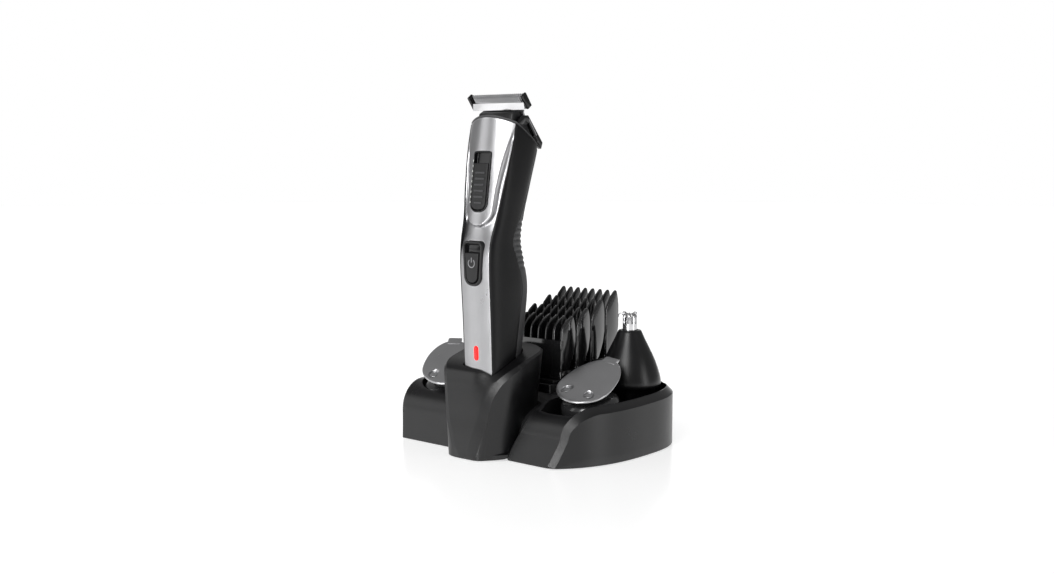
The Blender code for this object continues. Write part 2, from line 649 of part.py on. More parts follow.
def egg(half, length, tip, grow=0.0, count=8):
    """A plate's outline: a half circle in front and a longer half ellipse that ends in a square tip."""
    reach = half + grow
    points = [(reach * math.cos(math.pi + math.pi * i / count), reach * math.sin(math.pi + math.pi * i / count))
              for i in range(count)]
    stop = math.acos((tip + grow) / reach)
    side = [(reach * math.cos(stop * i / count), length * math.sin(stop * i / count)) for i in range(count + 1)]
    return points + side + mirrored(side)[:-1]


def precision_head(side, spot, turn, radius):
    """Spare narrow-blade head: black base on a round collar, silver plate and two blades at its tip."""
    place = Matrix.Translation(spot) @ Matrix.Rotation(math.radians(turn), 4, "Z")
    place = place @ Matrix.Rotation(HEAD_TILT, 4, "X")
    profile = [(8.5, 0.0), (radius - 0.4, 0.0), (radius, 2.0), (radius - 0.3, 8.4), (radius - 1.5, 10.0), (8.5, 10.0)]
    base = turned_ring(f"precision_base_{side}", profile, "black_plastic", place, 24)
    tilt = place @ Matrix.Translation((0, -PLATE_REACH, PLATE_RISE)) @ Matrix.Rotation(PLATE_TILT, 4, "X")
    low = [(x * 0.62, y * 0.62 + 3.0, -4.2) for x, y in egg(PLATE_HALF - 0.8, PLATE_LENGTH - 1.0, PLATE_TIP)]
    high = [(x, y, 0.0) for x, y in egg(PLATE_HALF - 0.8, PLATE_LENGTH - 1.0, PLATE_TIP)]
    body = loft("body", [low, high], "black_plastic", tilt)
    cut(body, box("channel", (-3.6, 6.0, -1.5), (3.6, 30.0, 5), "black_plastic", tilt))
    join(base, rod("neck", 9.1, 5.4, 15.7, "black_plastic", place, 20), body, solver="MANIFOLD")
    plate = prism(f"precision_plate_{side}", egg(PLATE_HALF, PLATE_LENGTH, PLATE_TIP), 0.35, 1.7, "silver_paint", tilt)
    for sign in (-1, 1):
        dimple = tilt @ Matrix.Translation((sign * 6.4, -5.6, 0))
        cut(plate, rod("dimple", 2.5, 1.2, 3.0, "silver_paint", dimple, 16))
    end = PLATE_LENGTH + 2.4
    teeth = toothed(3.6, end - 1.6, end, 0.9, 0.35)
    fixed = prism(f"precision_blade_{side}", [(-3.6, 22.9), (3.6, 22.9)] + teeth, 0.5, 1.1, "steel", tilt)
    teeth = toothed(2.6, end - 2.0, end - 0.5, 0.9, 0.35)
    moving = prism(f"precision_cutter_{side}", [(-2.6, 9.0), (2.6, 9.0)] + teeth, -1.1, -0.4, "steel", tilt)
    return base, plate, fixed, moving


def comb(index):
    """A comb's end walls, front wall and fins, in one moulding."""
    tip_y = COMB_FIRST_Y + COMB_PITCH * index
    tip_z = COMB_TIPS[index]
    wall_y = tip_y - 9.0
    wall_top = COMB_WALL_TOP + (tip_z - COMB_TIPS[0]) * 0.4
    foot = RACK_TOP + 1.9
    frame = rounded([(-COMB_HALF, wall_y, 1.5), (COMB_HALF, wall_y, 1.5), (COMB_HALF, wall_y + 11.0, 0.3),
                     (COMB_HALF - 1.6, wall_y + 11.0, 0.3), (COMB_HALF - 1.6, wall_y + 1.8, 0.3),
                     (-COMB_HALF + 1.6, wall_y + 1.8, 0.3), (-COMB_HALF + 1.6, wall_y + 11.0, 0.3),
                     (-COMB_HALF, wall_y + 11.0, 0.3)], steps=1)
    made = prism(f"comb_{COMB_SIZES[index]}mm", frame, foot, wall_top, "gloss_black")
    fin = [(wall_y + 0.2, wall_top - 4.0), (wall_y + 10.8, wall_top - 16.0), (wall_y + 11.6, wall_top - 6.0),
           (tip_y + 1.6, tip_z - 4.5), (tip_y + 0.4, tip_z - 0.4), (tip_y - 0.6, tip_z), (tip_y - 1.6, tip_z - 0.8),
           (tip_y - 6.6, wall_top + 6.5), (wall_y + 1.4, wall_top + 4.0), (wall_y + 0.9, wall_top + 1.0)]
    for i in range(COMB_TEETH):
        middle = -COMB_HALF + 0.75 + (2 * COMB_HALF - 1.5) * i / (COMB_TEETH - 1)
        rings = [[(x, y, z) for y, z in fin] for x in (middle - 0.6, middle + 0.6)]
        join(made, loft("fin", rings, "gloss_black"))
    return made


# ---------------------------------------------------------------- stand

def waterfall(front, lean, straight, reach, deck, rear, inset):
    """Side profile of a front that leans back, rolls over and runs level to the rear."""
    front += inset
    deck -= inset
    points = [(front, SHELL_BOTTOM - (0 if inset == 0 else 5)), (front + lean, straight)]
    for i in range(1, 7):
        t = math.pi / 2 * i / 6
        points.append((front + lean + reach * (1 - math.cos(t)), straight + (deck - straight) * math.sin(t)))
    low = points[0][1]
    return points + [(rear, deck + 1.5), (rear, low)]


LOBE_STATIONS = [(-80.0, "left"), (-24.0, "left"), (15.6, "valley"), (18.8, "right"), (80.0, "right")]


def lobe_profile(kind, inset):
    rear = STAND_MID_Y + STAND_BACK + 12.0
    if kind == "left":
        return waterfall(-44.0, 0.6, 15.5, 16.0, DECK_LEFT, rear, inset)
    if kind == "valley":
        return waterfall(-43.0, 4.0, 11.5, 17.0, DECK_RIGHT - 3.0, rear, inset)
    return waterfall(-46.0, 4.6, 14.0, 17.0, DECK_RIGHT, rear, inset)


def tower_profile(x, inset):
    """The tower's front and top at one place across it: rounder towards its right edge."""
    blend = min(1.0, max(0.0, x / 15.0)) ** 1.5
    points = []
    for i, (middle, edge) in enumerate(TOWER_FRONTS):
        y = middle[0] + (edge[0] - middle[0]) * blend
        z = middle[1] + (edge[1] - middle[1]) * blend
        points.append((y + inset, z - (inset if i else 2 * inset)))
    return points + [(points[-1][0], points[0][1])]


def stand_solid(name, inset):
    """Both lobes, the tower and the comb plinth as one solid, all faces moved in by inset."""
    low, high = -20.0, 90.0
    lobes = loft(name, [[(x, y, z) for y, z in lobe_profile(kind, inset)] for x, kind in LOBE_STATIONS],
                 "black_plastic")
    plan = superellipse(STAND_HALF_WIDTH, STAND_FRONT, STAND_BACK, (0.0, STAND_MID_Y), (2.5, 7.0, 2.8, 2.8), 56,
                        inset)
    combine(lobes, prism("plan", plan, low, high, "black_plastic"), "INTERSECT")
    widths = [-30.0, 0.0, 4.0, 8.0, 11.5, 15.0, 26.0]
    tower = loft("tower", [[(x, y, z) for y, z in tower_profile(x, inset)] for x in widths], "black_plastic")
    plan = superellipse(TOWER_HALF_WIDTH, TOWER_FRONT, TOWER_BACK, (TOWER_X, TOWER_Y), (2.2, 2.6, 4.0, 4.0), 40,
                        inset)
    combine(tower, prism("plan", plan, low, high, "black_plastic"), "INTERSECT")
    plinth = box("plinth", (-RACK_HALF + inset, RACK_FRONT + inset, 15.0),
                 (RACK_HALF - inset, RACK_BACK - inset, RACK_TOP - inset), "black_plastic")
    return join(lobes, tower, plinth)


def left_well(grow, low, high):
    (x, y, _), _, radius = LEFT_HEAD
    place = Matrix.Translation((x, y, 0))
    return rod("left_tray", radius + WELL_CLEARANCE + grow, low, high, "black_plastic", place, 28)


def right_well(grow, low, high):
    """The recess that fills the right lobe: the stand's own outline, brought in by the rim."""
    plan = superellipse(STAND_HALF_WIDTH, STAND_FRONT, STAND_BACK, (0.0, STAND_MID_Y), (2.5, 7.0, 2.8, 2.8), 48,
                        RIGHT_WELL_RIM - grow)
    well = prism("right_tray", plan, low, high, "black_plastic")
    left, front, step = RIGHT_WELL_X - grow, RIGHT_WELL_Y - grow, 5.2
    corners = [(left + step, front, 6.0), (80.0, front, 1.0), (80.0, 80.0, 1.0), (left, 80.0, 1.0),
               (left, -8.0, 2.0), (left + step, -14.0, 2.0)]
    return combine(well, prism("half", rounded(corners), low - 1, high + 1, "black_plastic"), "INTERSECT")


def socket(grow, low, high, name="socket"):
    """The handset's foot, grown, drawn straight up above its widest section in the tower."""
    rings = [outer_ring(z, grow) for z in (HANDSET_FOOT, 34.0, 46.0, 54.0)]
    bottom = [(x, y, low) for x, y, _ in rings[0]]
    top = [(x, y, high) for x, y, _ in rings[-1]]
    return loft(name, [bottom] + rings + [top], "black_plastic")


def stand():
    shell = stand_solid("stand_shell", 0.0)
    cut(shell, stand_solid("hollow", SHELL_WALL))
    for x, y in BOSSES:
        place = Matrix.Translation((x, y, 0))
        boss = rod("boss", BOSS_RADIUS, PLATE_TOP + GAP, 60.0, "black_plastic", place, 16)
        combine(boss, stand_solid("skin", 1.0), "INTERSECT")
        join(shell, boss)
        cut(shell, rod("bore", SCREW_HOLE, 0.0, 15.0, "black_plastic", place, 12))
    cut(shell, socket(SOCKET_CLEARANCE, 0.0, 80.0), left_well(0.0, 15.0, 60.0), right_well(0.0, 15.0, 60.0))
    cut(shell, rod("jack_hole", 3.4, 0.0, 20.0, "black_plastic", jack_frame(), 20))
    return shell


def liners():
    """The cup that holds the handset's foot, and the tray under the wells."""
    cradle = socket(SOCKET_CLEARANCE + LINER, SOCKET_FLOOR - LINER, 80.0, "handset_cradle")
    combine(cradle, stand_solid("skin", SHELL_WALL + GAP), "INTERSECT")
    cut(cradle, socket(SOCKET_CLEARANCE, SOCKET_FLOOR, 90.0))
    for side in (-1, 1):
        cut(cradle, rod("pin_hole", 1.5, 5.0, 30.0, "black_plastic", Matrix.Translation((side * 4, -40.0, 0)), 12))
    for well in (left_well, right_well):
        tray = combine(well(LINER, WELL_FLOOR - LINER, 60.0), stand_solid("skin", SHELL_WALL + GAP), "INTERSECT")
        cut(tray, well(0.0, WELL_FLOOR, 70.0))
    return cradle


def jack_frame():
    """Z runs out of the back of the stand at the power inlet."""
    return basis(Vector((JACK_X, 40.0, JACK_Z)), X_AXIS, -Z_AXIS, Y_AXIS)


def power_inlet():
    inlet = box("dc_power_jack", (-4.5, -5.0, 2.0), (4.5, 5.0, 13.2), "black_plastic", jack_frame())
    join(inlet, rod("barrel", 3.0, 10.0, 16.4, "black_plastic", jack_frame(), 20))
    cut(inlet, rod("bore", 2.0, 5.0, 20.0, "black_plastic", jack_frame(), 16))
    return inlet


def stand_base():
    plate = box("base_plate", (-80, -80, PLATE_BOTTOM), (80, 80, PLATE_TOP), "black_plastic")
    combine(plate, stand_solid("skin", SHELL_WALL + 0.4), "INTERSECT")
    for i, (x, y) in enumerate(BOSSES):
        place = Matrix.Translation((x, y, 0))
        cut(plate, turned("countersink", [(2.9, 0.0), (2.9, 1.6), (1.5, 2.4), (1.5, 5.0)], "steel", place, 12))
        turned(f"base_screw_{i + 1}", [(2.5, 0.9), (2.5, 1.5), (1.0, 2.3), (1.0, 12.0)], "steel", place, 12)
    for i, (x, y) in enumerate(FEET):
        place = Matrix.Translation((x, y, 0))
        rod(f"rubber_foot_{i + 1}", FOOT_RADIUS, 0.0, FOOT_HEIGHT, "grey_rubber", place, 16)
    return plate


def charging_parts():
    """The two pins on one header, and the board below it."""
    header = box("charging_pins", (-6.0, -42.0, 12.3), (6.0, -38.0, 14.8), "brass")
    for side in (-1, 1):
        join(header, rod("pin", 1.1, 13.0, 19.4, "brass", Matrix.Translation((side * 4, -40.0, 0)), 12))
    return header, box("charging_board", (-12.0, -46.0, 10.4), (12.0, -26.0, 12.0), "board_green")


def comb_rack():
    """Low tongues on the plinth, one in each comb's hollow."""
    rack = box("comb_rack", (-COMB_HALF + 2.2, RACK_FRONT + 3.0, RACK_TOP + GAP),
               (COMB_HALF - 2.2, RACK_BACK - 1.5, RACK_TOP + GAP + 1.2), "black_plastic")
    for index in range(len(COMB_SIZES)):
        wall_y = COMB_FIRST_Y + COMB_PITCH * index - 9.0
        join(rack, box("tongue", (-COMB_HALF + 2.2, wall_y + 2.4, RACK_TOP + 1.0),
                       (COMB_HALF - 2.2, wall_y + 9.0, RACK_TOP + 4.6), "black_plastic"))
    return rack


def set_origin(names, point):
    """Moves the origins of some pieces to a point in millimetres, and leaves their shapes in place."""
    for name in names:
        made = bpy.data.objects[name]
        shift = Matrix.Translation(Vector(point) * MM)
        made.data.transform(shift.inverted())
        made.matrix_world = shift


def set_origins():
    """Every piece that moves has its origin on its own joint's axis."""
    set_origin(["motor_shaft", "eccentric_wheel"], MOTOR_FOOT)
    set_origin(["length_slider"], face_frame(SLIDER_Z).translation)
    set_origin(["power_switch"], face_frame(SWITCH_Z).translation)
    set_origin(["nose_cutter", "nose_cone", "nose_tip"], (NOSE_X, NOSE_Y, 0))
    set_origin(["fixed_blade", "blade_guard_left", "blade_guard_right", "moving_blade", "blade_carrier",
                "blade_spring", "blade_screw_left", "blade_screw_right", "head_body", "head_frame"], BLADE_FOOT)
    for side, head in (("right", RIGHT_HEAD), ("left", LEFT_HEAD)):
        set_origin([f"precision_{piece}_{side}" for piece in ("base", "plate", "blade", "cutter")], head[0])
    for index, size in enumerate(COMB_SIZES):
        set_origin([f"comb_{size}mm"], (0, COMB_FIRST_Y + COMB_PITCH * index, RACK_TOP))
    set_origin(["front_panel", "body_shell", "back_grip", "end_cap", "charge_contacts", "slider_track",
                "switch_bezel", "charge_lens", "motor_can", "motor_cradle", "circuit_board", "battery_cell",
                "battery_holder", "charge_led", "neck_plate"], (0, -40.0, HANDSET_FOOT))


def main():
    for item in list(bpy.data.objects):
        bpy.data.objects.remove(item)
    stand()
    liners()
    stand_base()
    charging_parts()
    power_inlet()
    comb_rack()
    front_panel()
    body_shell()
    back_grip()
    end_cap()
    charge_contacts()
    controls()
    motor()
    electronics()
    neck_plate()
    t_blades()
    head_body()
    head_frame()
    nose_head()
    precision_head("right", *RIGHT_HEAD)
    precision_head("left", *LEFT_HEAD)
    for index in range(len(COMB_SIZES)):
        comb(index)
    set_origins()


main()
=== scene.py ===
"""Looks of the beard trimmer kit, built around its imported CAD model.

Sizes are in millimetres in the CAD model's frame (+Z up, -Y the front, +X to the right), and each
builder turns them into Blender's metres.
"""

import json
import math

import bmesh
import bpy
from mathutils import Matrix, Vector


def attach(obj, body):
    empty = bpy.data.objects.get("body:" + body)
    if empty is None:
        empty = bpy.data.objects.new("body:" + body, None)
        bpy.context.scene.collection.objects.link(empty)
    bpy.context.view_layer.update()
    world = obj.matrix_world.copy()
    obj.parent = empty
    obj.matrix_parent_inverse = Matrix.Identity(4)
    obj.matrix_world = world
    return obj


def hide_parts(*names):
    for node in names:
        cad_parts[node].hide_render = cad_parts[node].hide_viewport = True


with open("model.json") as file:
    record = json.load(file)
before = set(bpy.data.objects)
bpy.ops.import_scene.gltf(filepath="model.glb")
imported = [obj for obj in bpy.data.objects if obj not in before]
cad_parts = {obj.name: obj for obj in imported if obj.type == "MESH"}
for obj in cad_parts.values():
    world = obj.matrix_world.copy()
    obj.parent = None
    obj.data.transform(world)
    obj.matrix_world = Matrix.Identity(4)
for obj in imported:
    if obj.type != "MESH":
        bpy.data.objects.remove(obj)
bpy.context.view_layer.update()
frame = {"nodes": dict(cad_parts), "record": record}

MM = 0.001
GAP = 0.3
X_AXIS, Y_AXIS, Z_AXIS = Vector((1, 0, 0)), Vector((0, 1, 0)), Vector((0, 0, 1))
SIDES = (("left", -1), ("right", 1))

# Stand
STAND_HALF_WIDTH, STAND_MID_Y, STAND_FRONT, STAND_BACK = 61.3, 8.0, 66.0, 49.4
STAND_POWERS = (2.5, 7.0, 2.8, 2.8)        # roundness: right front, left front, left back, right back
SHELL_BOTTOM = 0.5
TOWER_X, TOWER_Y = -2.4, -36.0
TOWER_HALF_WIDTH, TOWER_FRONT, TOWER_BACK = 22.8, 21.4, 18.5
TOWER_POWERS = (2.2, 2.6, 4.0, 4.0)
TOWER_DRAFTS = (0.07, 0.13)                # how much the left and right walls draw in per mm down
#                 y      z  down the tower's middle, and the same place on its right edge
TOWER_PROFILE = [(-57.3, 0.5, -57.3, 0.5), (-56.5, 12.0, -56.5, 12.0), (-55.6, 20.0, -55.5, 20.0),
                 (-54.9, 28.0, -54.5, 28.0), (-54.3, 34.0, -53.0, 34.0), (-53.6, 39.5, -50.5, 39.5),
                 (-51.6, 43.8, -46.0, 43.6), (-46.5, 46.2, -41.0, 46.4), (-36.0, 48.9, -36.0, 48.7),
                 (-26.0, 51.6, -26.0, 51.6), (-17.6, 53.6, -17.6, 53.6)]
#             front  lean  straight reach  deck
LEFT_LOBE = (-44.0, 0.6, 15.5, 16.0, 30.0)
RIGHT_LOBE = (-46.0, 4.6, 14.0, 17.0, 28.5)
LOBE_SEAM = (-24.0, 13.0)                  # the x range over which one lobe turns into the other
RIDGE_X, RIDGE_DRIFT, RIB_WIDTH, STRIP_DEPTH = 13.4, 9.4, 2.5, 5.0
WALL_STEPS = 10                            # rings of faces down the stand's walls
JACK_X, JACK_Z, FOOT_RECESS = -14.0, 12.0, 3.3
WELL_RIM, WELL_FRONT_Y, WELL_FLOOR = 3.9, -35.6, 17.0
RACK_HALF, RAIL_HALF, RACK_FRONT, RACK_BACK, RACK_TOP = 16.0, 15.8, -13.0, 45.0, 33.0

# Handset stations:  z   front   edge   half  side  widest   seam   back
STATIONS = [(22.0, -49.6, -48.5, 8.4, 10.8, -40.0, -35.5, -28.0),
            (46.0, -50.5, -49.3, 8.8, 11.6, -39.0, -35.0, -24.6),
            (70.0, -51.5, -50.2, 8.9, 12.2, -38.0, -32.0, -20.6),
            (84.0, -52.4, -51.0, 9.0, 12.6, -37.5, -30.6, -19.5),
            (96.0, -52.9, -51.5, 9.1, 12.6, -39.0, -34.0, -22.2),
            (106.0, -52.2, -50.8, 9.2, 12.7, -40.0, -38.0, -24.9),
            (117.0, -50.0, -47.8, 10.1, 13.4, -38.5, -33.5, -24.0),
            (133.0, -47.6, -44.4, 12.4, 14.7, -34.5, -26.8, -20.4),
            (151.0, -45.2, -40.5, 14.2, 15.3, -30.0, -22.0, -14.6),
            (168.0, -42.4, -36.4, 14.6, 15.2, -26.0, -17.5, -10.5)]
HANDSET_FOOT, HANDSET_TOP = 22.0, 168.0
NECK_Y, NECK_Z, NECK_SLOPE = -37.5, 162.3, -0.64
GROOVES, GROOVE_FOOT, GROOVE_PITCH, GROOVE_WIDTH, GROOVE_DEPTH = 9, 93.5, 2.7, 1.1, 0.5
#          z     half-width of the raised tongue on the panel
TONGUE = [(122.0, 8.1), (130.0, 8.7), (140.0, 10.0), (150.0, 11.9), (162.0, 14.4), (175.0, 17.0)]
TONGUE_FOOT, TONGUE_DEPTH = 122.0, 1.9
SLIDER_Z, SLIDER_HALF, SLIDER_LENGTH = 135.0, 5.5, 29.5
RIB_FOOT, RIB_PITCH, TICK_FOOT, TICK_PITCH = -8.0, 2.9, -10.0, 2.5
SWITCH_Z, SWITCH_HALF, SWITCH_LENGTH = 95.8, 6.3, 21.6
LENS_Z, LENS_HALF, LENS_LENGTH = 52.0, 1.3, 7.0

# Heads and combs
BLADE_TILT = math.radians(37)
BLADE_FOOT = Vector((0, -18.0, 155.0))
BLADE_UP = Vector((0, -math.sin(BLADE_TILT), math.cos(BLADE_TILT)))
BLADE_OUT = Vector((0, math.cos(BLADE_TILT), math.sin(BLADE_TILT)))
BLADE_LENGTH, BLADE_HALF, NECK_HALF = 27.5, 17.9, 11.0
BLOCK_LIFT, BRACKET_LIFT = 1.9, 0.9          # above the neck plane
DRIVE_TILT = math.radians(18)
MOTOR_FOOT = Vector((0, -37.0, 121.0))
NOSE_X, NOSE_Y = 35.0, 28.3
RIGHT_HEAD = ((40.4, -11.0, 19.8), -15.0, 14.6)
LEFT_HEAD = ((-43.6, -22.6, 19.6), 32.0, 13.8)
HEAD_TILT, PLATE_TILT = math.radians(9), math.radians(20)
#               middle               turn tilt  roll half  length
RIGHT_PLATE = ((41.6, -18.2, 35.1), 1.4, 23.3, 7.4, 14.0, 24.8)
PLATE_REACH, PLATE_RISE, PLATE_HALF, PLATE_LENGTH, PLATE_TIP = 4.6, 18.0, 13.4, 23.0, 3.8
COMB_SIZES = (3, 6, 9, 12)
COMB_FIRST_Y, COMB_PITCH, COMB_HALF, COMB_TEETH, COMB_REACH = 2.3, 12.4, 18.0, 8, 9.0
COMB_TIPS = (66.2, 69.2, 72.8, 76.4)
COMB_WALL_TOP = 54.5

# Studio, in metres and watts
CAMERA = (0.4075, -0.498, 0.150)
ROOM_LIGHT, FLOOR_GLOW = 0.25, 0.58
#          name     place                 aim                 size          power
LIGHTS = (("key", (0.25, -1.0, 0.75), (0.0, -0.04, 0.10), (0.55, 0.60), 6.0),
          ("front", (0.10, -1.20, 0.27), (0.0, -0.04, 0.13), (0.22, 0.65), 4.5),
          ("fill", (-0.95, -0.95, 0.45), (0.0, -0.04, 0.10), (0.70, 0.80), 2.0),
          ("right", (1.10, 0.15, 0.25), (0.0, 0.0, 0.05), (0.30, 0.50), 1.2))


# ---- curves

def ramp(low, high, value):
    """0 below low, 1 above high, and a smooth rise between them."""
    t = min(1.0, max(0.0, (value - low) / (high - low)))
    return t * t * (3 - 2 * t)


def blend(a, b, t):
    return a + (b - a) * t


def hermite(t, q, r, m, n):
    """A cubic that leaves q with the slope m and reaches r with the slope n, at t from 0 to 1."""
    return ((2 * t ** 3 - 3 * t ** 2 + 1) * q + (t ** 3 - 2 * t ** 2 + t) * m
            + (3 * t ** 2 - 2 * t ** 3) * r + (t ** 3 - t ** 2) * n)


def through(knots, at):
    """A smooth curve through knots of equal length, at a place counted in knots."""
    i = min(len(knots) - 2, max(0, int(at)))
    before, after = knots[max(i - 1, 0)], knots[min(i + 2, len(knots) - 1)]
    return [hermite(at - i, q, r, (r - p) / 2, (s - q) / 2)
            for p, q, r, s in zip(before, knots[i], knots[i + 1], after)]


def table_at(table, z):
    """The other columns of a table by its first, joined by a smooth curve."""
    i = 0
    while i < len(table) - 2 and z > table[i + 1][0]:
        i += 1
    here, there = table[i], table[i + 1]
    before, after = table[max(i - 1, 0)], table[min(i + 2, len(table) - 1)]
    span = there[0] - here[0]
    values = []
    for k in range(1, len(here)):
        m = (there[k] - before[k]) / (there[0] - before[0]) * span
        n = (after[k] - here[k]) / (after[0] - here[0]) * span
        values.append(hermite((z - here[0]) / span, here[k], there[k], m, n))
    return values


def circle(radius, count, x=0.0, y=0.0):
    return [(x + radius * math.cos(2 * math.pi * i / count),
             y + radius * math.sin(2 * math.pi * i / count)) for i in range(count)]


def rounded(corners, steps=8):
    """A closed outline from (x, y, radius) corners, anticlockwise, each corner an arc."""
    points = []
    count = len(corners)
    for i, (x, y, radius) in enumerate(corners):
        here = Vector((x, y))
        before = (Vector(corners[i - 1][:2]) - here).normalized()
        after = (Vector(corners[(i + 1) % count][:2]) - here).normalized()
        if radius <= 0:
            points.append((x, y))
            continue
        half = before.angle(after) / 2
        centre = here + (before + after).normalized() * (radius / math.sin(half))
        start = here + before * (radius / math.tan(half)) - centre
        end = here + after * (radius / math.tan(half)) - centre
        turn = start.angle_signed(end)
        for k in range(steps + 1):
            spoke = start.copy()
            spoke.rotate(Matrix.Rotation(-turn * k / steps, 2))
            points.append((centre.x + spoke.x, centre.y + spoke.y))
    return points


def rectangle(low, high, radius, far_radius=None, steps=8):
    """A rectangle between two corners, rounded by radius and, on its far side, by far_radius."""
    far = radius if far_radius is None else far_radius
    return rounded([(low[0], low[1], radius), (high[0], low[1], radius),
                    (high[0], high[1], far), (low[0], high[1], far)], steps)


def offset(points, distance):
    """A closed anticlockwise outline moved inward by distance."""
    moved = []
    count = len(points)
    for i, (x, y) in enumerate(points):
        before, after = points[i - 1], points[(i + 1) % count]
        along = Vector((after[0] - before[0], after[1] - before[1])).normalized()
        moved.append((x - along.y * distance, y + along.x * distance))
    return moved


# ---- pieces

def basis(origin, along_x, along_y, along_z):
    columns = Matrix((along_x, along_y, along_z)).transposed().to_4x4()
    return Matrix.Translation(origin) @ columns


def placed(name, data):
    """An object in the scene that holds data."""
    made = bpy.data.objects.new(name, data)
    bpy.context.scene.collection.objects.link(made)
    return made


def piece(name, mesh, look, place=None, smooth=32):
    """A named object from a bmesh in millimetres."""
    if place is not None:
        mesh.transform(place)
    mesh.transform(Matrix.Scale(MM, 4))
    bmesh.ops.recalc_face_normals(mesh, faces=mesh.faces[:])
    data = bpy.data.meshes.new(name)
    mesh.to_mesh(data)
    mesh.free()
    data.materials.append(look)
    data.shade_smooth()
    data.set_sharp_from_angle(angle=math.radians(smooth))
    return placed(name, data)


def rings_mesh(rings, capped=True):
    mesh = bmesh.new()
    loops = [[mesh.verts.new(p) for p in ring] for ring in rings]
    pairs = list(zip(loops, loops[1:])) if capped else list(zip(loops, loops[1:] + loops[:1]))
    for low, high in pairs:
        for i in range(len(low)):
            j = (i + 1) % len(low)
            mesh.faces.new((low[i], low[j], high[j], high[i]))
    if capped:
        mesh.faces.new(list(reversed(loops[0])))
        mesh.faces.new(loops[-1])
    return mesh


def loft(name, rings, look, place=None, smooth=32):
    return piece(name, rings_mesh(rings), look, place, smooth)


def prism(name, outline, low, high, look, place=None):
    return loft(name, [[(x, y, z) for x, y in outline] for z in (low, high)], look, place)


def box(name, low, high, look, place=None):
    outline = [(low[0], low[1]), (high[0], low[1]), (high[0], high[1]), (low[0], high[1])]
    return prism(name, outline, low[2], high[2], look, place)


def rod(name, radius, low, high, look, place=None, count=40):
    return prism(name, circle(radius, count), low, high, look, place)


def turned(name, profile, look, place=None, count=72, smooth=32):
    """A solid of revolution about Z with flat ends, from its outer (radius, z) points."""
    rings = [[(x, y, z) for x, y in circle(radius, count)] for radius, z in profile]
    return loft(name, rings, look, place, smooth)


def turned_ring(name, profile, look, place=None, count=72):
    """A solid of revolution about Z with a hole, from a closed profile of (radius, z) points."""
    rings = []
    for i in range(count):
        angle = 2 * math.pi * i / count
        rings.append([(r * math.cos(angle), r * math.sin(angle), z) for r, z in profile])
    return piece(name, rings_mesh(rings, capped=False), look, place)


def apply_modifiers(made):
    bpy.context.view_layer.update()
    graph = bpy.context.evaluated_depsgraph_get()
    result = bpy.data.meshes.new_from_object(made.evaluated_get(graph))
    made.modifiers.clear()
    made.data = result
    return made


def combine(target, tool, operation="DIFFERENCE"):
    modifier = target.modifiers.new(operation.lower(), "BOOLEAN")
    modifier.object = tool
    modifier.operation = operation
    apply_modifiers(target)
    bpy.data.objects.remove(tool)
    return target


def cut(target, *tools):
    for tool in tools:
        combine(target, tool)
    return target


def eased(made, width, segments=2, angle=40, smooth=40):
    """Rounds the sharp edges of a finished piece by width."""
    modifier = made.modifiers.new("ease", "BEVEL")
    modifier.width = width * MM
    modifier.segments = segments
    modifier.limit_method = "ANGLE"
    modifier.angle_limit = math.radians(angle)
    modifier.miter_outer = "MITER_ARC"
    apply_modifiers(made)
    made.data.shade_smooth()
    made.data.set_sharp_from_angle(angle=math.radians(smooth))
    return made


def sheet_mesh(grid, thickness):
    """A closed skin: a grid of outer points, and the same points moved inward by thickness."""
    rows, columns = len(grid), len(grid[0])
    outer = [[Vector(p) for p in row] for row in grid]
    inner = []
    for r in range(rows):
        line = []
        for c in range(columns):
            across = outer[r][min(c + 1, columns - 1)] - outer[r][max(c - 1, 0)]
            along = outer[min(r + 1, rows - 1)][c] - outer[max(r - 1, 0)][c]
            line.append(outer[r][c] - across.cross(along).normalized() * thickness)
        inner.append(line)
    mesh = bmesh.new()
    front = [[mesh.verts.new(p) for p in row] for row in outer]
    rear = [[mesh.verts.new(p) for p in row] for row in inner]
    for r in range(rows - 1):
        for c in range(columns - 1):
            mesh.faces.new((front[r][c], front[r][c + 1], front[r + 1][c + 1], front[r + 1][c]))
            mesh.faces.new((rear[r][c], rear[r + 1][c], rear[r + 1][c + 1], rear[r][c + 1]))
    for r in range(rows - 1):
        for c in (0, columns - 1):
            mesh.faces.new((front[r][c], front[r + 1][c], rear[r + 1][c], rear[r][c]))
    for c in range(columns - 1):
        for r in (0, rows - 1):
            mesh.faces.new((front[r][c], front[r][c + 1], rear[r][c + 1], rear[r][c]))
    return mesh


def standing_mesh(rows, foot):
    """A closed solid under a grid of points; foot gives the place on the floor under a border point."""
    mesh = bmesh.new()
    top = [[mesh.verts.new(p) for p in row] for row in rows]
    for low, high in zip(top, top[1:]):
        for i in range(len(low) - 1):
            mesh.faces.new((low[i], low[i + 1], high[i + 1], high[i]))
    border = top[0] + [row[-1] for row in top[1:]] + list(reversed(top[-1][:-1]))
    border += [row[0] for row in reversed(top[1:-1])]
    rings = [border]
    for k in range(1, WALL_STEPS + 1):
        rings.append([mesh.verts.new(v.co.lerp(Vector(foot(v.co)), k / WALL_STEPS)) for v in border])
    for high, low in zip(rings, rings[1:]):
        for i in range(len(high)):
            j = (i + 1) % len(high)
            mesh.faces.new((high[i], low[i], low[j], high[j]))
    mesh.faces.new(rings[-1])
    return mesh


# ---- looks

def set_values(node, **values):
    """Sets a node's settings, or its inputs, whose names have _ in place of a space."""
    for name, value in values.items():
        if hasattr(node, name):
            setattr(node, name, value)
        else:
            node.inputs[name.replace("_", " ")].default_value = value
    return node


def node_of(tree, kind, **values):
    return set_values(tree.nodes.new(kind), **values)


def feed(source, node, name):
    """Joins an output to one of a node's inputs."""
    node.id_data.links.new(source, node.inputs[name])


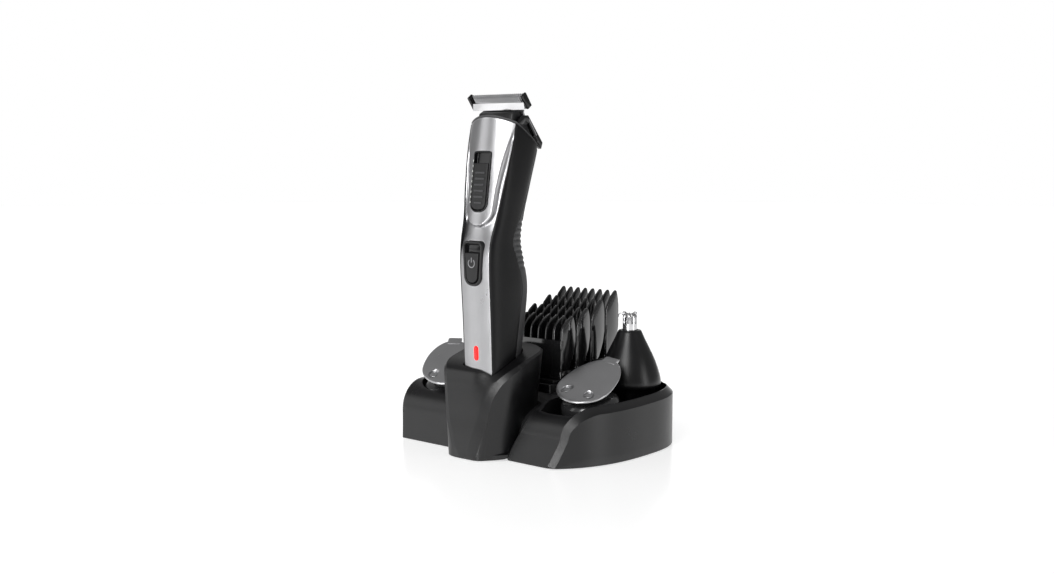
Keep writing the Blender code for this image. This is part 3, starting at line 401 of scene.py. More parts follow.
def look(name, colour, roughness, metallic=0.0, grain=1800.0, bump=0.04, spread=0.06, tone=0.12,
         brushed=None, coat=0.0, glow=None, wear=0.0, specular=0.5):
    """A procedural finish: fine grain in the bump, cloudy roughness and tone, optional brushing."""

    def shade(factor, more=0.0):
        return (*[min(1.0, c * factor + more) for c in colour], 1)

    made = bpy.data.materials.new(name)
    made.use_nodes = True
    tree = made.node_tree
    shader = set_values(tree.nodes["Principled BSDF"], Metallic=metallic, Coat_Weight=coat,
                        Specular_IOR_Level=specular, Coat_Roughness=0.08)
    place = fine_place = node_of(tree, "ShaderNodeTexCoord").outputs["Object"]
    if brushed:
        mapping = node_of(tree, "ShaderNodeMapping", Scale=brushed)
        feed(place, mapping, "Vector")
        fine_place = mapping.outputs["Vector"]
    fine = node_of(tree, "ShaderNodeTexNoise", Scale=grain, Detail=4.0, Roughness=0.6)
    feed(fine_place, fine, "Vector")
    cloud = node_of(tree, "ShaderNodeTexNoise", Scale=90.0, Detail=3.0)
    feed(place, cloud, "Vector")
    pattern = (fine if brushed else cloud).outputs["Fac"]
    rough = node_of(tree, "ShaderNodeMapRange", To_Min=max(0.02, roughness - spread),
                    To_Max=roughness + spread)
    feed(pattern, rough, "Value")
    feed(rough.outputs["Result"], shader, "Roughness")
    tint = node_of(tree, "ShaderNodeMix", data_type="RGBA", A=shade(1 - tone), B=shade(1 + tone))
    feed(pattern, tint, "Factor")
    base = tint.outputs["Result"]
    if wear:
        band = node_of(tree, "ShaderNodeMapRange", From_Min=0.52, From_Max=0.62, To_Max=wear)
        feed(node_of(tree, "ShaderNodeNewGeometry").outputs["Pointiness"], band, "Value")
        worn = node_of(tree, "ShaderNodeMix", data_type="RGBA", B=shade(2.2, 0.03))
        feed(band.outputs["Result"], worn, "Factor")
        feed(base, worn, "A")
        base = worn.outputs["Result"]
    feed(base, shader, "Base Color")
    relief = node_of(tree, "ShaderNodeBump", Strength=bump, Distance=0.0004)
    feed(fine.outputs["Fac"], relief, "Height")
    feed(relief.outputs["Normal"], shader, "Normal")
    if glow:
        set_values(shader, Emission_Color=(*glow, 1), Emission_Strength=1.1)
    return made


SATIN = look("satin_black", (0.0045, 0.0045, 0.005), 0.30, grain=2600.0, bump=0.10, wear=0.25)
FLANK = look("flank_black", (0.0045, 0.0045, 0.005), 0.34, grain=2600.0, bump=0.10, specular=0.22)
COLLAR = look("collar_black", (0.022, 0.022, 0.023), 0.22, grain=900.0, bump=0.02, coat=0.6, wear=0.3)
GLOSS = look("gloss_black", (0.003, 0.003, 0.0035), 0.13, grain=900.0, bump=0.02, spread=0.04, wear=0.2)
COMB = look("comb_black", (0.004, 0.004, 0.0045), 0.16, grain=700.0, bump=0.03, spread=0.04,
            coat=1.0, wear=0.4)
DULL = look("dull_black", (0.008, 0.008, 0.0085), 0.50, grain=2200.0, bump=0.14)
GRIP = look("grey_rubber", (0.040, 0.040, 0.042), 0.50, grain=3200.0, bump=0.22, wear=0.2)
SILVER = look("silver_paint", (0.42, 0.42, 0.43), 0.30, metallic=0.9, grain=5200.0, bump=0.06, tone=0.10,
              coat=0.25, wear=0.15)
PLATE = look("plate_silver", (0.50, 0.50, 0.51), 0.30, metallic=0.9, grain=4200.0, bump=0.07, tone=0.08)
STEEL = look("steel", (0.86, 0.86, 0.87), 0.42, metallic=1.0, grain=260.0, bump=0.05, spread=0.10,
             brushed=(0.4, 14.0, 14.0))
TEETH = look("tooth_steel", (0.50, 0.50, 0.51), 0.42, metallic=0.7, grain=900.0, bump=0.05)
CHROME = look("chrome", (0.72, 0.72, 0.73), 0.12, metallic=1.0, grain=700.0, bump=0.02, spread=0.04)
BRASS = look("brass", (0.70, 0.50, 0.22), 0.28, metallic=1.0, grain=900.0, bump=0.05)
RED = look("red_lens", (0.75, 0.01, 0.01), 0.18, grain=700.0, bump=0.02, glow=(1.0, 0.002, 0.001))
WHITE = look("white_plastic", (0.72, 0.72, 0.69), 0.42, grain=1500.0, bump=0.06)
BOARD = look("board_green", (0.02, 0.16, 0.05), 0.38, grain=1200.0, bump=0.08, tone=0.3)
WRAP = look("battery_wrap", (0.04, 0.16, 0.42), 0.30, grain=800.0, bump=0.04, tone=0.2)
MARK = look("grey_mark", (0.25, 0.25, 0.26), 0.45, grain=1500.0, bump=0.04)
SLOT_LOOKS = {"black_plastic": SATIN, "gloss_black": GLOSS, "grey_rubber": GRIP, "silver_paint": SILVER,
              "steel": STEEL, "brass": BRASS, "red_lens": RED, "white_plastic": WHITE,
              "board_green": BOARD, "battery_wrap": WRAP}


def keep(made, body, slot, *nodes):
    """Says which body a piece moves with and the CAD nodes it stands for, which it hides; slot is not used.
    """
    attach(made, body)
    if nodes:
        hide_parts(*nodes)
    return made


# ---- stand

def plan_x(y, side, half, front, back, centre, powers):
    """Where an outline made of four superellipse quarters lies at y, on the side -1 or 1."""
    rear = y > centre[1]
    power = powers[{(False, 1): 0, (False, -1): 1, (True, -1): 2, (True, 1): 3}[(rear, side)]]
    reach = back if rear else front
    share = min(1.0, abs(y - centre[1]) / reach)
    return centre[0] + side * half * (1 - share ** power) ** (1 / power)


def stand_edge(y, side):
    return plan_x(y, side, STAND_HALF_WIDTH, STAND_FRONT, STAND_BACK, (0.0, STAND_MID_Y), STAND_POWERS)


def tower_edge(y, side):
    return plan_x(y, side, TOWER_HALF_WIDTH, TOWER_FRONT, TOWER_BACK, (TOWER_X, TOWER_Y), TOWER_POWERS)


def waterfall(front, lean, straight, reach, deck, at):
    """A point (y, z) on a front that leans back, rolls over and runs level: at goes from 0 to 3."""
    if at < 1:
        return front + lean * at, blend(SHELL_BOTTOM, straight, at)
    if at < 2:
        turn = math.pi / 2 * (at - 1)
        return (front + lean + reach * (1 - math.cos(turn)), straight + (deck - straight) * math.sin(turn))
    rear = STAND_MID_Y + STAND_BACK - 0.05
    away = 1 - max(0.0, 3 - at) ** 1.6
    return blend(front + lean + reach, rear, away), deck + 1.5 * away


def lobe_point(x, at):
    """The stand's low surface: the left lobe's front blends into the right lobe's behind the tower."""
    left, right = waterfall(*LEFT_LOBE, at), waterfall(*RIGHT_LOBE, at)
    t = ramp(*LOBE_SEAM, x)
    return Vector((x, blend(left[0], right[0], t), blend(left[1], right[1], t)))


def lobe_normal(x, at):
    step = 0.004
    along = lobe_point(x, min(3.0, at + step)) - lobe_point(x, max(0.0, at - step))
    return Vector((0, -along.z, along.y)).normalized()


def border_point(surface, edge, side, at):
    """Where a surface meets the stand's outline at one place along its profile."""
    x = side * 10.0
    for _ in range(24):
        x = blend(x, edge(surface(x, at).y, side), 0.7)
    return surface(x, at)


def chamfered(surface, normal, edge, side, at, inward, down, top):
    """The two edges of the chamfer between a surface and the wall under its outline."""
    step = 0.01
    here = border_point(surface, edge, side, at)
    before = border_point(surface, edge, side, max(0.0, at - step))
    after = border_point(surface, edge, side, min(at + step, top))
    along = (after - before).normalized()
    face = normal(here.x, at)
    into = along.cross(face) * side
    if into.x * side > 0:
        into.negate()
    wall = Vector((side * abs(along.y), -side * along.x * (1 if along.y > 0 else -1), 0))
    if wall.length < 0.05:
        wall = Vector((side, 0, 0))
    below = along.cross(wall.normalized())
    if below.z > 0:
        below.negate()
    return here + into * inward, here + below * down


def foot_outline(edge, front, rear, inset):
    """The sunken area under the stand that holds its base plate, inset from the outline edge."""
    stops = spaced(front, rear, 30)
    return [(edge(y, 1) - inset, y) for y in stops] + [(edge(y, -1) + inset, y) for y in reversed(stops)]


def between(surface, low, high, count, at):
    """The points of a surface that part the span from low to high into count."""
    return [surface(blend(low, high, i / count), at) for i in range(1, count)]


def above_foot(row):
    return [Vector((p.x, p.y, max(p.z, SHELL_BOTTOM + 0.1))) for p in row]


def well_outline():
    """The right well: along the stand's edge from front to back, then forward beside the rack."""
    sweep = [(stand_edge(y, 1) - WELL_RIM, y) for y in (WELL_FRONT_Y + 1.4 * i for i in range(60))]
    sweep = [spot for spot in sweep if spot[0] > 30.0]
    lead = [(28.4, WELL_FRONT_Y), (34.0, WELL_FRONT_Y - 0.6), (44.0, WELL_FRONT_Y - 0.4)]
    rear = sweep[-1][1]
    return lead + sweep + [(30.0, rear + 2.0), (17.6, rear + 3.0), (17.6, -10.0), (24.4, -15.0)]


def stand_base():
    """Both lobes with the rolled fronts, their chamfers, and the sunken strip beside the tower."""
    stops = [0.03] + [i / 14 for i in range(1, 14)] + [1 + i / 26 for i in range(26)]
    stops += [2 + i / 46 for i in range(45)] + [2.984, 2.993, 2.998]
    rows = []
    for at in stops:
        front = lobe_point(40.0, at)
        ridge = RIDGE_X + RIDGE_DRIFT * ramp(0.0, 30.0, front.z)
        open_strip = 1 - ramp(-19.0, -12.0, front.y)
        rib = RIB_WIDTH * open_strip
        left_face, left_wall = chamfered(lobe_point, lobe_normal, stand_edge, -1, at, 1.1, 1.1, 3.0)
        wide = 2.0 + 1.2 * ramp(0.8, 1.9, at)
        right_face, right_wall = chamfered(lobe_point, lobe_normal, stand_edge, 1, at, wide, wide, 3.0)
        squeeze = max(0.0, min(1.0, (right_face.x - 1.0) / 30.0))
        inner = [x * squeeze for x in (-30.0, -18.0, -6.0, 4.0)]
        row = [left_wall, left_face] + between(lobe_point, left_face.x, inner[0], 8, at)
        row += [lobe_point(x, at) for x in inner]
        sunk = [(ridge - 6.0, STRIP_DEPTH), (ridge - 0.9, STRIP_DEPTH), (ridge, rib and 2.6),
                (ridge + rib + 0.02, 0.0)]
        for x, depth in sunk:
            x = min(x * squeeze + (1 - squeeze) * 6.0, right_face.x - 0.5 + 0.02 * x)
            row.append(lobe_point(x, at) - lobe_normal(x, at) * depth * open_strip)
        row += between(lobe_point, row[-1].x, right_face.x, 11, at)
        lean_left = (left_face.y - lobe_point(left_face.x, at).y) * ramp(2.0, 2.5, at)
        lean_right = (right_face.y - lobe_point(right_face.x, at).y) * ramp(2.0, 2.5, at)
        for point in row[2:]:
            share = (point.x - left_face.x) / (right_face.x - left_face.x)
            point.y += blend(lean_left, lean_right, share)
        rows.append(above_foot(row + [right_face, right_wall]))
    first, last = rows[-1][0], rows[-1][-1]
    shares = [0.002 + 0.996 * (point.x - first.x) / (last.x - first.x) for point in rows[-1]]
    rows.append([first.lerp(last, share) + Vector((0, 0.05, 0)) for share in shares])
    base = piece("stand_lobes", standing_mesh(rows, lambda p: (p.x, p.y, SHELL_BOTTOM)), SATIN, smooth=22)
    x, y, _ = LEFT_HEAD[0]
    jack = basis(Vector((JACK_X, 40.0, JACK_Z)), X_AXIS, -Z_AXIS, Y_AXIS)
    cut(base, prism("well", well_outline(), WELL_FLOOR, 60.0, SATIN),
        rod("well", LEFT_HEAD[2] + 1.3, WELL_FLOOR, 60.0, SATIN, Matrix.Translation((x, y, 0)), 72),
        rod("jack_hole", 3.4, 9.0, 20.0, SATIN, jack),
        prism("foot_recess", foot_outline(stand_edge, -38.5, 54.0, 4.0), -1.0, FOOT_RECESS, SATIN))
    keep(eased(base, 0.7, 3, angle=58, smooth=11), "stand", "black_plastic", "stand_shell", "left_tray",
         "right_tray")


def tower_point(x, at):
    share = ramp(0.0, 15.0, x)
    y, z, edge_y, edge_z = through(TOWER_PROFILE, at)
    return Vector((x, blend(y, edge_y, share), blend(z, edge_z, share)))


def tower_normal(x, at):
    step = 0.02
    along = tower_point(x, at + step) - tower_point(x, max(0.0, at - step))
    return Vector((0, -along.z, along.y)).normalized()


def tower():
    """The housing for the handset's foot, with a broad chamfer down its right front."""
    last = len(TOWER_PROFILE) - 1
    stops = [0.08, 0.2] + [0.4 + i * 0.1 for i in range(int((last - 0.5) * 10))]
    stops += [last - 0.04, last - 0.015]
    rows = []
    for at in stops:
        wide = 3.2 - 1.1 * ramp(1.0, 4.5, at) - 1.0 * ramp(5.5, 9.0, at)
        right_face, right_wall = chamfered(tower_point, tower_normal, tower_edge, 1, at, wide, wide * 0.8,
                                           last)
        left_face, left_wall = chamfered(tower_point, tower_normal, tower_edge, -1, at, 1.2, 1.2, last)
        middle = between(tower_point, left_face.x, right_face.x, 16, at)
        rows.append(above_foot([left_wall, left_face] + middle + [right_face, right_wall]))

    def foot(point):
        draft = TOWER_DRAFTS[1] if point.x > TOWER_X else -TOWER_DRAFTS[0]
        reach = min(1.0, abs(point.x - TOWER_X) / 12.0)
        return point.x - draft * point.z * reach, point.y, SHELL_BOTTOM

    made = piece("stand_tower", standing_mesh(rows, foot), SATIN, smooth=22)
    rings = []
    for z, grow in ((17.0, 0.7), (30.0, 0.7), (46.0, 0.7), (54.0, 0.8), (70.0, 0.8)):
        ring = offset([p[:2] for p in handset_ring(min(z, 54.0))], -grow)
        rings.append([(x, y, z) for x, y in ring])
    cut(made, loft("socket", rings, SATIN),
        prism("foot_recess", foot_outline(tower_edge, -52.0, -20.0, 5.5), -1.0, FOOT_RECESS, SATIN))
    keep(eased(made, 0.6, 3, angle=58, smooth=9), "stand", "black_plastic", "handset_cradle")


def rack():
    """Raised deck and the tongues that carry the combs."""
    outline = rectangle((-RACK_HALF, RACK_FRONT), (RACK_HALF, RACK_BACK), 1.5)
    plinth = prism("comb_plinth", outline, 15.0, RACK_TOP, SATIN)
    keep(eased(plinth, 0.8, 3), "stand", "black_plastic")
    outline = rectangle((-RAIL_HALF, RACK_FRONT + 3), (RAIL_HALF, RACK_BACK - 1.5), 1.0)
    made = prism("rack_rail", outline, RACK_TOP + GAP, RACK_TOP + 1.5, DULL)
    for index in range(len(COMB_SIZES)):
        wall_y = COMB_FIRST_Y + COMB_PITCH * index - COMB_REACH
        outline = rectangle((-RAIL_HALF, wall_y + 2.4), (RAIL_HALF, wall_y + 9), 0.8)
        combine(made, prism("tongue", outline, RACK_TOP + 1.0, RACK_TOP + 4.6, DULL), "UNION")
    keep(eased(made, 0.4), "stand", "black_plastic", "comb_rack")


# ---- handset

def side_point(z, t):
    """The black flank at height z: t runs from the panel's edge, 0, to the seam, 1."""
    edge, half, side, widest, seam, back = table_at(STATIONS, z)[1:]
    if t < 0.72:
        turn = math.pi / 2 * t / 0.72
        return half + (side - half) * math.sin(turn), edge + (widest - edge) * (1 - math.cos(turn))
    y = blend(widest, seam, (t - 0.72) / 0.28)
    depth = max(0.0, (y - widest) / (back - widest))
    return side * (1 - depth ** 2.6) ** (1 / 2.6), y


def back_point(z, t):
    """The grip at height z: t runs from the left seam, -1, to the right one, 1."""
    side, widest, seam, back = table_at(STATIONS, z)[3:]
    start = math.asin(min(1.0, ((seam + 0.5 - widest) / (back - widest)) ** 1.3))
    turn = start + (math.pi / 2 - start) * (1 - abs(t))
    x = side * max(0.0, math.cos(turn)) ** (2 / 2.6)
    return math.copysign(x, t), widest + (back - widest) * math.sin(turn) ** (2 / 2.6)


def panel_point(z, t):
    """The silver front at height z, from the left edge, -1, to the right one, 1."""
    front, edge, half = table_at(STATIONS, z)[:3]
    x = half * t * 0.985
    base = front + (edge - front) * t * t
    tongue = table_at(TONGUE, max(z, TONGUE_FOOT))[0]
    if z >= TONGUE_FOOT:
        away = abs(x) - tongue
    else:
        away = math.hypot(x, z - TONGUE_FOOT) - tongue
    depth = TONGUE_DEPTH * (1 - 0.75 * ramp(138.0, 163.0, z)) * ramp(99.0, 112.0, z)
    middle = min(tongue + 1.8, half * 0.9)
    rise = 1 - 0.8 * ramp(middle, half, abs(x)) * ramp(112.0, 122.0, z)
    return x, base + depth * ramp(-0.2, 1.0, away) * rise


def neck_line(y, lift=0.0):
    """Height of the sloping neck plane at y, raised by lift."""
    return NECK_Z + NECK_SLOPE * (y - NECK_Y) + lift


def neck_height(point):
    """The height where the neck plane cuts a line up the handset; point gives its y at a height."""
    z = 160.0
    for _ in range(12):
        z = neck_line(point(min(z, HANDSET_TOP))[1])
    return z


def handset_grid(point, across, heights, lift=0.0, knee=128.0):
    """Rows of points up a wall of the handset, whose top rows follow the neck plane."""
    tops = [neck_height(lambda z, t=t: point(z, t)) + lift for t in across]
    grid = []
    for height in heights:
        row = []
        for t, top in zip(across, tops):
            z = height
            if z > knee:
                z = knee + (z - knee) * (top - knee) / (HANDSET_TOP - knee)
            x, y = point(z, t)
            row.append((x, y, z))
        grid.append(row)
    return grid


def spaced(low, high, count):
    return [blend(low, high, i / (count - 1)) for i in range(count)]


def handset_ring(z, count=9):
    """The handset's whole section at height z, anticlockwise from its left front edge."""
    front = [panel_point(z, t)[:2] for t in spaced(-1, 1, count)]
    flank = [side_point(z, t) for t in spaced(0.08, 1, count)]
    rear = [back_point(z, t) for t in spaced(0.9, -0.9, 2 * count)]
    left = [(-x, y) for x, y in reversed(flank)]
    return [(x, y, z) for x, y in front + flank + rear + left]


def face_frame(z, half_span=6.0):
    """Matrix of the panel's front at height z: X across, Y up the face, Z out of it."""
    low, high = table_at(STATIONS, z - half_span)[0], table_at(STATIONS, z + half_span)[0]
    up = Vector((0, high - low, 2 * half_span)).normalized()
    return basis(Vector((0, table_at(STATIONS, z)[0], z)), X_AXIS, up, X_AXIS.cross(up))


def slot_outline(half, length, top_radius, bottom_radius, shrink=0.0, taper=0.0):
    """A slot in the panel, rounded and maybe narrower at its bottom, and shrunk on every side."""
    wide, narrow, end = half - shrink, half - shrink - taper, length / 2 - shrink
    low, high = max(bottom_radius - shrink, 0.5), max(top_radius - shrink, 0.4)
    return rounded([(narrow, -end, low), (wide, end, high), (-wide, end, high), (-narrow, -end, low)])


def slider_slot(shrink=0.0):
    return slot_outline(SLIDER_HALF, SLIDER_LENGTH, 1.6, 4.4, shrink)


def switch_slot(shrink=0.0):
    return slot_outline(SWITCH_HALF, SWITCH_LENGTH, 2.6, 4.8, shrink, taper=1.2)


def lens_slot(shrink=0.0):
    return slot_outline(LENS_HALF, LENS_LENGTH, 1.25, 1.25, shrink)


def casing():
    """Silver front with its raised tongue, black flanks and the ribbed grey back."""
    grid = handset_grid(panel_point, spaced(-1, 1, 101), spaced(HANDSET_FOOT, HANDSET_TOP, 240))
    panel = piece("panel", sheet_mesh(grid, 1.5), SILVER, smooth=50)
    for slot, z in ((slider_slot, SLIDER_Z), (switch_slot, SWITCH_Z), (lens_slot, LENS_Z)):
        cut(panel, prism("slot", slot(-0.15), -8, 8, SILVER, face_frame(z)))
    keep(eased(panel, 0.35, 3, angle=50, smooth=50), "handset", "silver_paint", "front_panel")
    for side, sign in SIDES:
        grid = handset_grid(side_point, spaced(0.0, 1.0, 17), spaced(HANDSET_FOOT, HANDSET_TOP, 80))
        grid = [[(sign * x, y, z) for x, y, z in row][::sign] for row in grid]
        flank = piece(f"flank_{side}", sheet_mesh(grid, 2.3), FLANK, smooth=50)
        nodes = ["body_shell"] if sign > 0 else []
        keep(eased(flank, 0.45, 3, angle=50, smooth=50), "handset", "black_plastic", *nodes)
    heights = spaced(HANDSET_FOOT, HANDSET_TOP, 300)
    grid = []
    for row in handset_grid(back_point, spaced(1.0, -1.0, 41), heights, lift=-1.0, knee=132.0):
        line = []
        for x, y, z in row:
            away = min(abs(z - GROOVE_FOOT - GROOVE_PITCH * i) for i in range(GROOVES))
            groove = max(0.0, 1 - away / GROOVE_WIDTH)
            line.append((x * (1 - 0.02 * groove), y - GROOVE_DEPTH * groove, z))
        grid.append(line)
    grip = piece("grip", sheet_mesh(grid, 1.2), GRIP, smooth=50)
    keep(eased(grip, 0.4, 2, angle=50, smooth=50), "handset", "grey_rubber", "back_grip")


def power_mark(place):
    """Generic power symbol: an open ring and a bar."""
    rings = []
    count, radius, thick = 40, 2.0, 0.24
    for i in range(count + 1):
        angle = math.radians(130 + 280 * i / count)
        c, s = math.cos(angle), math.sin(angle)
        rings.append([((radius + a) * c, (radius + a) * s, b)
                      for a, b in ((-thick, 0.0), (thick, 0.0), (thick, 0.12), (-thick, 0.12))])
    keep(loft("power_ring", rings, MARK, place), "power_switch", "black_plastic")
    bar = box("power_bar", (-0.24, 0.4, 0.0), (0.24, 2.7, 0.12), MARK, place)
    keep(bar, "power_switch", "black_plastic")


def controls():
    """The length slider in its track, the power switch in its frame, and the charge light."""
    place = face_frame(SLIDER_Z)
    track = prism("slider_well", slider_slot(), -3.6, 0.25, GLOSS, place)
    cut(track, prism("pocket", slider_slot(0.7), -2.0, 3, GLOSS, place))
    keep(eased(track, 0.25, 3), "handset", "gloss_black", "slider_track")
    thumb = place @ Matrix.Translation((0, -2.3, 0))
    outline = slot_outline(SLIDER_HALF, SLIDER_LENGTH - 5.2, 1.2, 4.2, 1.0)
    slider = prism("slider", outline, -1.7, 0.5, DULL, thumb)
    keep(eased(slider, 0.5, 3), "length_slider", "black_plastic", "length_slider")
    for i in range(6):
        y, half = RIB_FOOT + RIB_PITCH * i, 3.0 if i else 2.4
        outline = rectangle((-half, y - 0.5), (half, y + 0.5), 0.4)
        rib = prism(f"slider_rib_{i + 1}", outline, 0.2, 0.95, GRIP, thumb)
        keep(eased(rib, 0.25, 2), "length_slider", "black_plastic")
    for i in range(9):
        y = TICK_FOOT + TICK_PITCH * i
        tick = box(f"scale_tick_{i + 1}", (-SLIDER_HALF + 0.12, y - 0.45, 0.2),
                   (-SLIDER_HALF + 0.42, y + 0.45, 0.32), WHITE, place)
        keep(tick, "handset", "white_plastic")
    place = face_frame(SWITCH_Z)
    bezel = prism("switch_frame", switch_slot(), -3.4, 0.6, DULL, place)
    cut(bezel, prism("pocket", switch_slot(1.2), -1.8, 3, DULL, place))
    keep(eased(bezel, 0.4, 3), "handset", "black_plastic", "switch_bezel")
    window = prism("switch_window", rectangle((-4.4, 4.6), (4.4, 9.0), 0.4, 1.0), -1.9, -1.0, GLOSS, place)
    keep(eased(window, 0.2, 2), "handset", "gloss_black")
    thumb = place @ Matrix.Translation((0, -2.0, 0))
    outline = slot_outline(SWITCH_HALF - 1.9, SWITCH_LENGTH - 7.2, 0.6, 3.2, 0.0, taper=1.2)
    switch = prism("switch_button", outline, -1.5, 1.0, DULL, thumb)
    keep(eased(switch, 0.5, 3), "power_switch", "black_plastic", "power_switch")
    power_mark(place @ Matrix.Translation((0, 0.2, 0.98)))
    lens = prism("lens", lens_slot(), -2.0, 0.5, RED, face_frame(LENS_Z))
    keep(eased(lens, 0.5, 4), "handset", "red_lens", "charge_lens")


# ---- T-blade head

def blade_frame(along=0.0, out=0.0):
    """X across, Y up the blade to its teeth, Z out of its skin side."""
    return basis(BLADE_FOOT + BLADE_UP * along + BLADE_OUT * out, X_AXIS, BLADE_UP, BLADE_OUT)


def side_spot(along, out):
    """The (y, z) of a place so far up the blade and so far out of its skin side."""
    spot = BLADE_FOOT + BLADE_UP * along + BLADE_OUT * out
    return spot.y, spot.z


def toothed(half, base, tip, pitch, gap):
    """The edge of a row of teeth, from right to left."""
    count = int(2 * half / pitch)
    points = []
    for i in range(count):
        right = half - 2 * half * i / count
        left = half - 2 * half * (i + 1) / count
        points += [(right - gap / 2, base), (right - gap / 2 - 0.12, tip - 0.3),
                   (right - gap / 2 - 0.25, tip), (left + gap / 2 + 0.25, tip),
                   (left + gap / 2 + 0.12, tip - 0.3), (left + gap / 2, base)]
    return points


def neck_ring(scale, lift):
    """The handset's outline where the neck plane cuts it, scaled about its middle."""
    points = []
    walls = [(panel_point, t) for t in spaced(-1, 1, 25)] + [(side_point, t) for t in spaced(0.1, 1, 10)]
    walls += [(back_point, t) for t in spaced(0.92, -0.92, 25)]
    for wall, t in walls:
        z = neck_height(lambda height: wall(height, t))
        x, y = wall(min(z, HANDSET_TOP), t)
        points.append((x, y))
    points += [(-x, y) for x, y in reversed(points[25:35])]
    middle = sum(y for _, y in points) / len(points)
    scaled = []
    for x, y in points:
        y = middle + (y - middle) * scale
        scaled.append((x * scale, y, neck_line(y, lift)))
    return scaled


def blades():
    """The fixed T blade with its screws and end guards, the cutter behind it and the bar over both."""
    teeth = toothed(16.2, BLADE_LENGTH - 2.6, BLADE_LENGTH, 1.2, 0.42)
    shoulder = [(NECK_HALF, 1.0), (NECK_HALF, 15.0), (NECK_HALF + 0.3, 16.6), (12.6, 18.4), (14.8, 19.4),
                (16.0, 20.2), (16.2, 21.0)]
    outline = [(NECK_HALF - 1, 0.0)] + shoulder + teeth + [(-x, y) for x, y in reversed(shoulder)]
    outline.append((-NECK_HALF + 1, 0.0))
    fixed = prism("t_blade", outline, -0.9, 0.0, TEETH, blade_frame())
    for side, sign in SIDES:
        place = blade_frame() @ Matrix.Translation((sign * 6.0, 5.0, 0))
        cut(fixed, rod("bore", 1.9, -3.0, 3.0, STEEL, place))
        profile = [(0.9, -0.9), (1.5, 0.1), (1.5, 0.5), (1.2, 0.75), (0.3, 0.85)]
        screw = turned(f"blade_pin_{side}", profile, STEEL, place, 32)
        cut(screw, box("slot", (-0.2, -2.0, 0.5), (0.2, 2.0, 2.0), STEEL, place))
        keep(screw, "trimmer_head", "steel", f"blade_screw_{side}")
        ends = sorted((sign * 16.45, sign * BLADE_HALF))
        outline = rectangle((ends[0], 20.2), (ends[1], BLADE_LENGTH + 0.3), 0.3, 0.5, 3)
        guard = prism(f"end_guard_{side}", outline, -2.9, 0.3, GLOSS, blade_frame())
        keep(eased(guard, 0.2, 2), "trimmer_head", "gloss_black", f"blade_guard_{side}")
    keep(fixed, "trimmer_head", "steel", "fixed_blade")
    teeth = toothed(14.6, BLADE_LENGTH - 3.2, BLADE_LENGTH - 0.8, 1.2, 0.5)
    outline = [(-9.0, 16.5), (9.0, 16.5), (9.4, 19.6), (14.6, 20.2)] + teeth + [(-14.6, 20.2), (-9.4, 19.6)]
    moving = prism("cutter_blade", outline, -2.2, -1.0, TEETH, blade_frame())
    keep(eased(moving, 0.12, 2, angle=50), "trimmer_cutter", "steel", "moving_blade")
    section = [(20.8, -2.4), (20.8, -4.2), (21.0, -4.4), (23.2, -2.8), (24.0, -2.6), (24.0, -2.4)]
    rings = [[(x, y, z) for y, z in section] for x in (-16.4, 16.4)]
    keep(eased(loft("blade_bar", rings, CHROME, blade_frame()), 0.2, 2), "trimmer_head", "steel")


def head_block():
    """The black block behind the blades, hollow for the drive."""
    side = [(-37.0, NECK_Z + BLOCK_LIFT), (-19.6, neck_line(-19.6, BLOCK_LIFT)), side_spot(-1.0, -1.2),
            side_spot(20.2, -2.6), side_spot(21.0, -6.8)]
    middle_y, middle_z = (sum(column) / len(side) for column in zip(*side))
    rings = []
    for x, pull in ((-11.0, 0.7), (-10.4, 0.0), (10.4, 0.0), (11.0, 0.7)):
        rings.append([(x, y + (middle_y - y) * pull * 0.06, z + (middle_z - z) * pull * 0.06)
                      for y, z in side])
    block = loft("head_block", rings, SATIN)
    cut(block, box("hollow", (-9.3, 2.0, -7.0), (9.3, 14.5, 2.0), SATIN, blade_frame()),
        box("hollow", (-9.3, 12.0, -4.9), (9.3, 19.8, 2.0), SATIN, blade_frame()))
    keep(eased(block, 0.5, 3, angle=35), "trimmer_head", "black_plastic", "head_body")


def brackets():
    """The slotted plates on both sides of the block, each with a thin silver trim."""
    outline = [(y, neck_line(y, BRACKET_LIFT)) for y in (-36.2, -17.6)]
    outline += [(BLADE_FOOT.y + 1.6, BLADE_FOOT.z - 1.4), side_spot(15.0, -0.4), side_spot(17.5, -4.0)]
    across = basis(BLADE_FOOT, BLADE_UP, BLADE_OUT, X_AXIS)
    for name, sign in SIDES:
        ends = sorted((sign * 11.3, sign * 13.6))
        bracket = loft(f"bracket_{name}", [[(x, y, z) for y, z in outline] for x in ends], GLOSS)
        eased(bracket, 0.35, 3, angle=35)
        cut(bracket, prism("window", rectangle((4.0, -4.4), (12.4, -2.2), 0.9), -20, 20, GLOSS, across))
        keep(bracket, "trimmer_head", "gloss_black")
        strip = prism(f"bracket_trim_{name}", rectangle((3.6, -1.7), (13.4, -1.1), 0.2, steps=3),
                      ends[0] - 0.12, ends[1] + 0.12, PLATE, across)
        keep(strip, "trimmer_head", "silver_paint")


def head():
    """The T-blade head: its collar on the handset's neck, blades, block and brackets."""
    sections = ((0.97, 0.3), (0.99, 0.7), (0.985, 1.3), (0.94, 1.7))
    collar = loft("neck_collar", [neck_ring(scale, lift) for scale, lift in sections], GRIP, smooth=50)
    shaft = Vector((0, math.sin(DRIVE_TILT), math.cos(DRIVE_TILT)))
    turn = basis(MOTOR_FOOT, X_AXIS, shaft.cross(X_AXIS), shaft)
    cut(collar, rod("drive_hole", 7.2, 10.0, 60.0, GRIP, turn))
    keep(collar, "trimmer_head", "grey_rubber", "head_frame")
    blades()
    head_block()
    brackets()


# ---- spare heads

